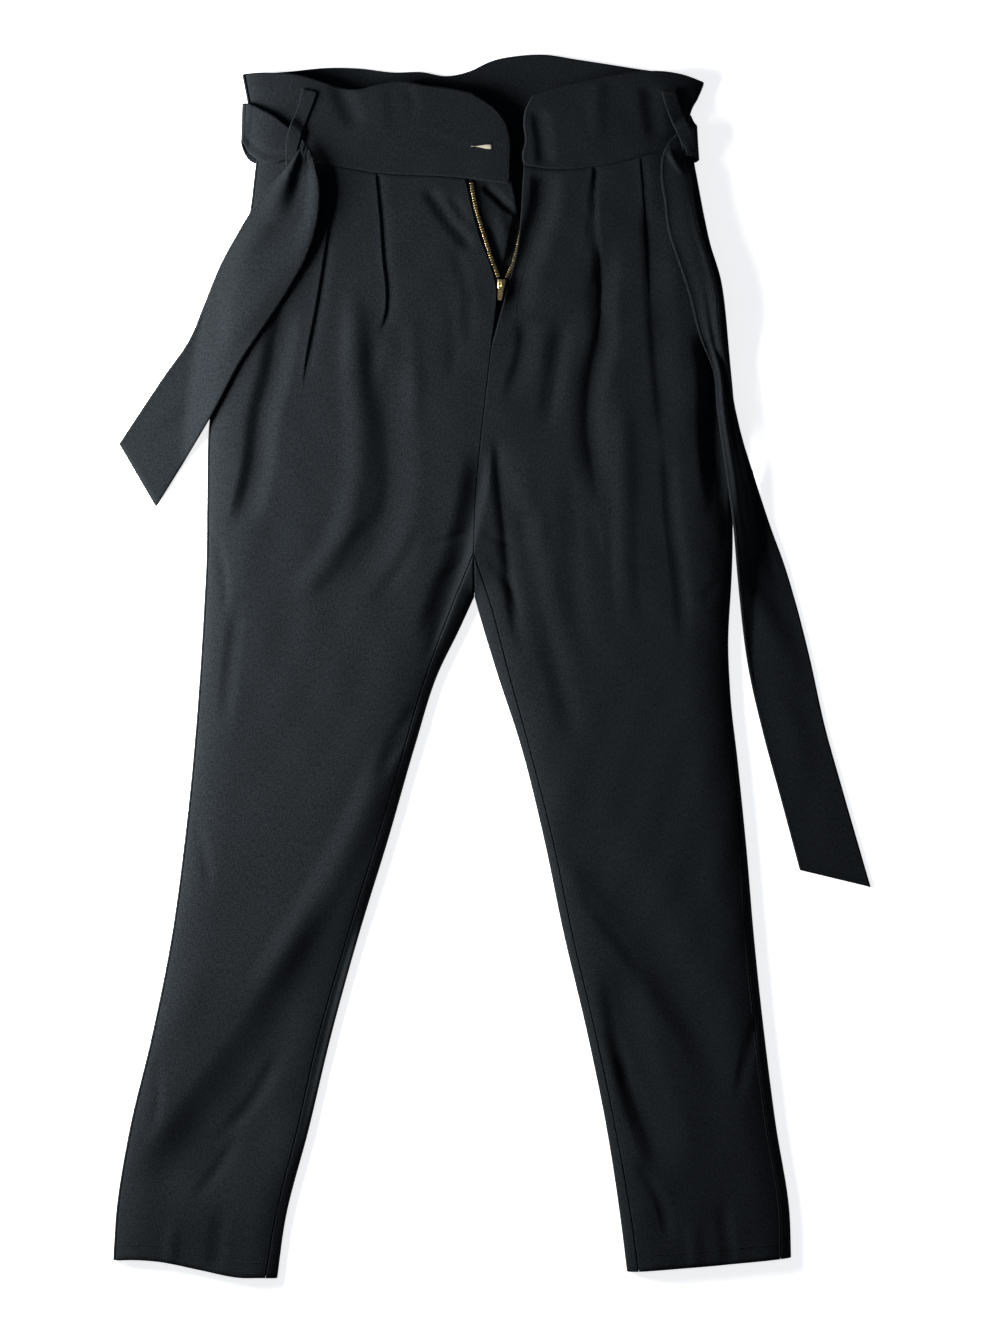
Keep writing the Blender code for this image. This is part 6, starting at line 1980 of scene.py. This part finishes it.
def cut_and_bevel(thing, cutter, width):
    """Cuts one solid out of another, then rounds the edges that are left."""
    only(thing)
    cut = thing.modifiers.new("window", "BOOLEAN")
    cut.operation = "DIFFERENCE"
    cut.object = cutter
    bpy.ops.object.modifier_apply(modifier=cut.name)
    bevel = thing.modifiers.new("edges", "BEVEL")
    bevel.width = width * MM
    bevel.segments = PULL_SEGMENTS
    bevel.limit_method = "ANGLE"
    bpy.ops.object.modifier_apply(modifier=bevel.name)
    bpy.data.objects.remove(cutter, do_unlink=True)


pull = block(PULL)
pull.name = "zip_pull_cast"
edit_all(bpy.ops.mesh.subdivide, number_cuts=PULL_CUTS)
for vertex in pull.data.vertices:
    vertex.co.y -= (PULL[1] / 2 - PULL_PAST_PIN) * MM
    vertex.co.x *= float(curve(PULL_PLACES, PULL_WIDTHS, -vertex.co.y / MM))
cut_and_bevel(pull, block(WINDOW, (0.0, -WINDOW_DOWN, 0.0)), PULL_EDGE)
set_at_slider(pull, 0.0)
print("pull tab", [round(side / MM, 1) for side in pull.dimensions], "mm")

# %% [markdown]
# ## Buttonhole
# The buttonhole is a slit with a worked edge of close stitches. It gapes a little
# towards the fly, and the pale stiffening inside the band shows there as a small wedge.
# The wedge is a thin sheet of its own, and a short stitch repeats along the edge.

# %% Slit and worked edge
SLIT = np.array(((-17.5, 441.2), (-0.5, 440.6)))
SLIT_GAPE = 3.8
SLIT_LEAST = 0.25
LINING_WALL = 0.3
EDGE_STITCH = (1.9, 0.62, 0.5)
EDGE_BEVEL = 0.18
EDGE_OUT = 0.75
EDGE_LIFT = 0.12
EDGE_PARTS = np.linspace(0.0, 1.0, 24)
SLIT_PARTS = np.linspace(0.0, 1.0, 15)
ACROSS_SLIT = np.array((0.0, 1.0, 0.0))


def slit_at(part):
    """A place on the slit's middle line and half its opening there."""
    x, y = SLIT[0] + part * (SLIT[1] - SLIT[0])
    return x, y, max(SLIT_LEAST, SLIT_GAPE / 2 * float(ease(0.05, 0.9, part)))


def edge_places(parts):
    """Places for the worked edge's stitches, on both sides of the slit."""
    found = []
    for x, y, half in (slit_at(part) for part in parts):
        for side in (1.0, -1.0):
            start = Vector((x, y + side * (half + EDGE_OUT), ABOVE_ALL))
            hit, normal = band_tree.ray_cast(start, DOWN)[:2]
            up = np.array(normal if normal.z > 0 else -normal)
            across = unit(ACROSS_SLIT - up * up[1])
            middle = (np.array(hit) + up * EDGE_LIFT + SHIFT) * MM
            found.append((middle, np.stack((across, np.cross(up, across), up))))
    return found


slit_grid = np.array([[(x, y + half * across) for across in (-1.0, -0.5, 0.0, 0.5, 1.0)]
                      for x, y, half in map(slit_at, SLIT_PARTS)])
slit_height = laid_over(slit_grid, band_tree, EDGE_LIFT, 0.0)
slit_lining = shell("buttonhole_lining", np.concatenate((slit_grid, slit_height[..., None]), 2),
                    LINING_WALL, PALE_INTERLINING)
worked = rounded_block(EDGE_STITCH, EDGE_BEVEL, 1)
buttonhole = repeated("buttonhole_edge", worked, edge_places(EDGE_PARTS), BLACK_THREAD)
bpy.data.objects.remove(worked, do_unlink=True)

# %% [markdown]
# ## Handing over
# Each piece is set to move with its CAD body, and the CAD node that it stands for is
# hidden. A sheet of cloth also states the size that it was cut to, of what shows. The
# pull tab rides on its own body, all else on the other.

# %% Pieces, bodies and finishes
STANDS_FOR = (
    (front_left, "front_left"), (front_right, "front_right"), (back_left, "back_left"),
    (back_right, "back_right"), (band_left, "waistband_front_left"),
    (band_right, "waistband_front_right"), (band_back, "waistband_back"),
    (fly_shield, "fly_shield"), (tape_left, "zip_tape_left"), (tape_right, "zip_tape_right"),
    (belt_behind, "belt_back"), (belt_left, "belt_side_left"),
    (belt_right, "belt_side_right"), (tail_left, "belt_tail_left"),
    (tail_right, "belt_tail_right"), (loop_left, "belt_loop_left"),
    (loop_right, "belt_loop_right"), (slider, "zip_slider"), (pull, "zip_pull"),
)
ADDED = (front_stitches, back_stitches, teeth_left, teeth_right, slit_lining, buttonhole)
for piece, node in STANDS_FOR:
    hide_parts(node)
for piece in [piece for piece, node in STANDS_FOR] + list(ADDED):
    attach(piece, "pull_tab" if piece is pull else "trousers")
print("pieces", len(STANDS_FOR) + len(ADDED))

# %% Cut sizes of the sheets, in metres
Cut = namedtuple("Cut", "piece rests_on width length area held", defaults=(None, "laid"))
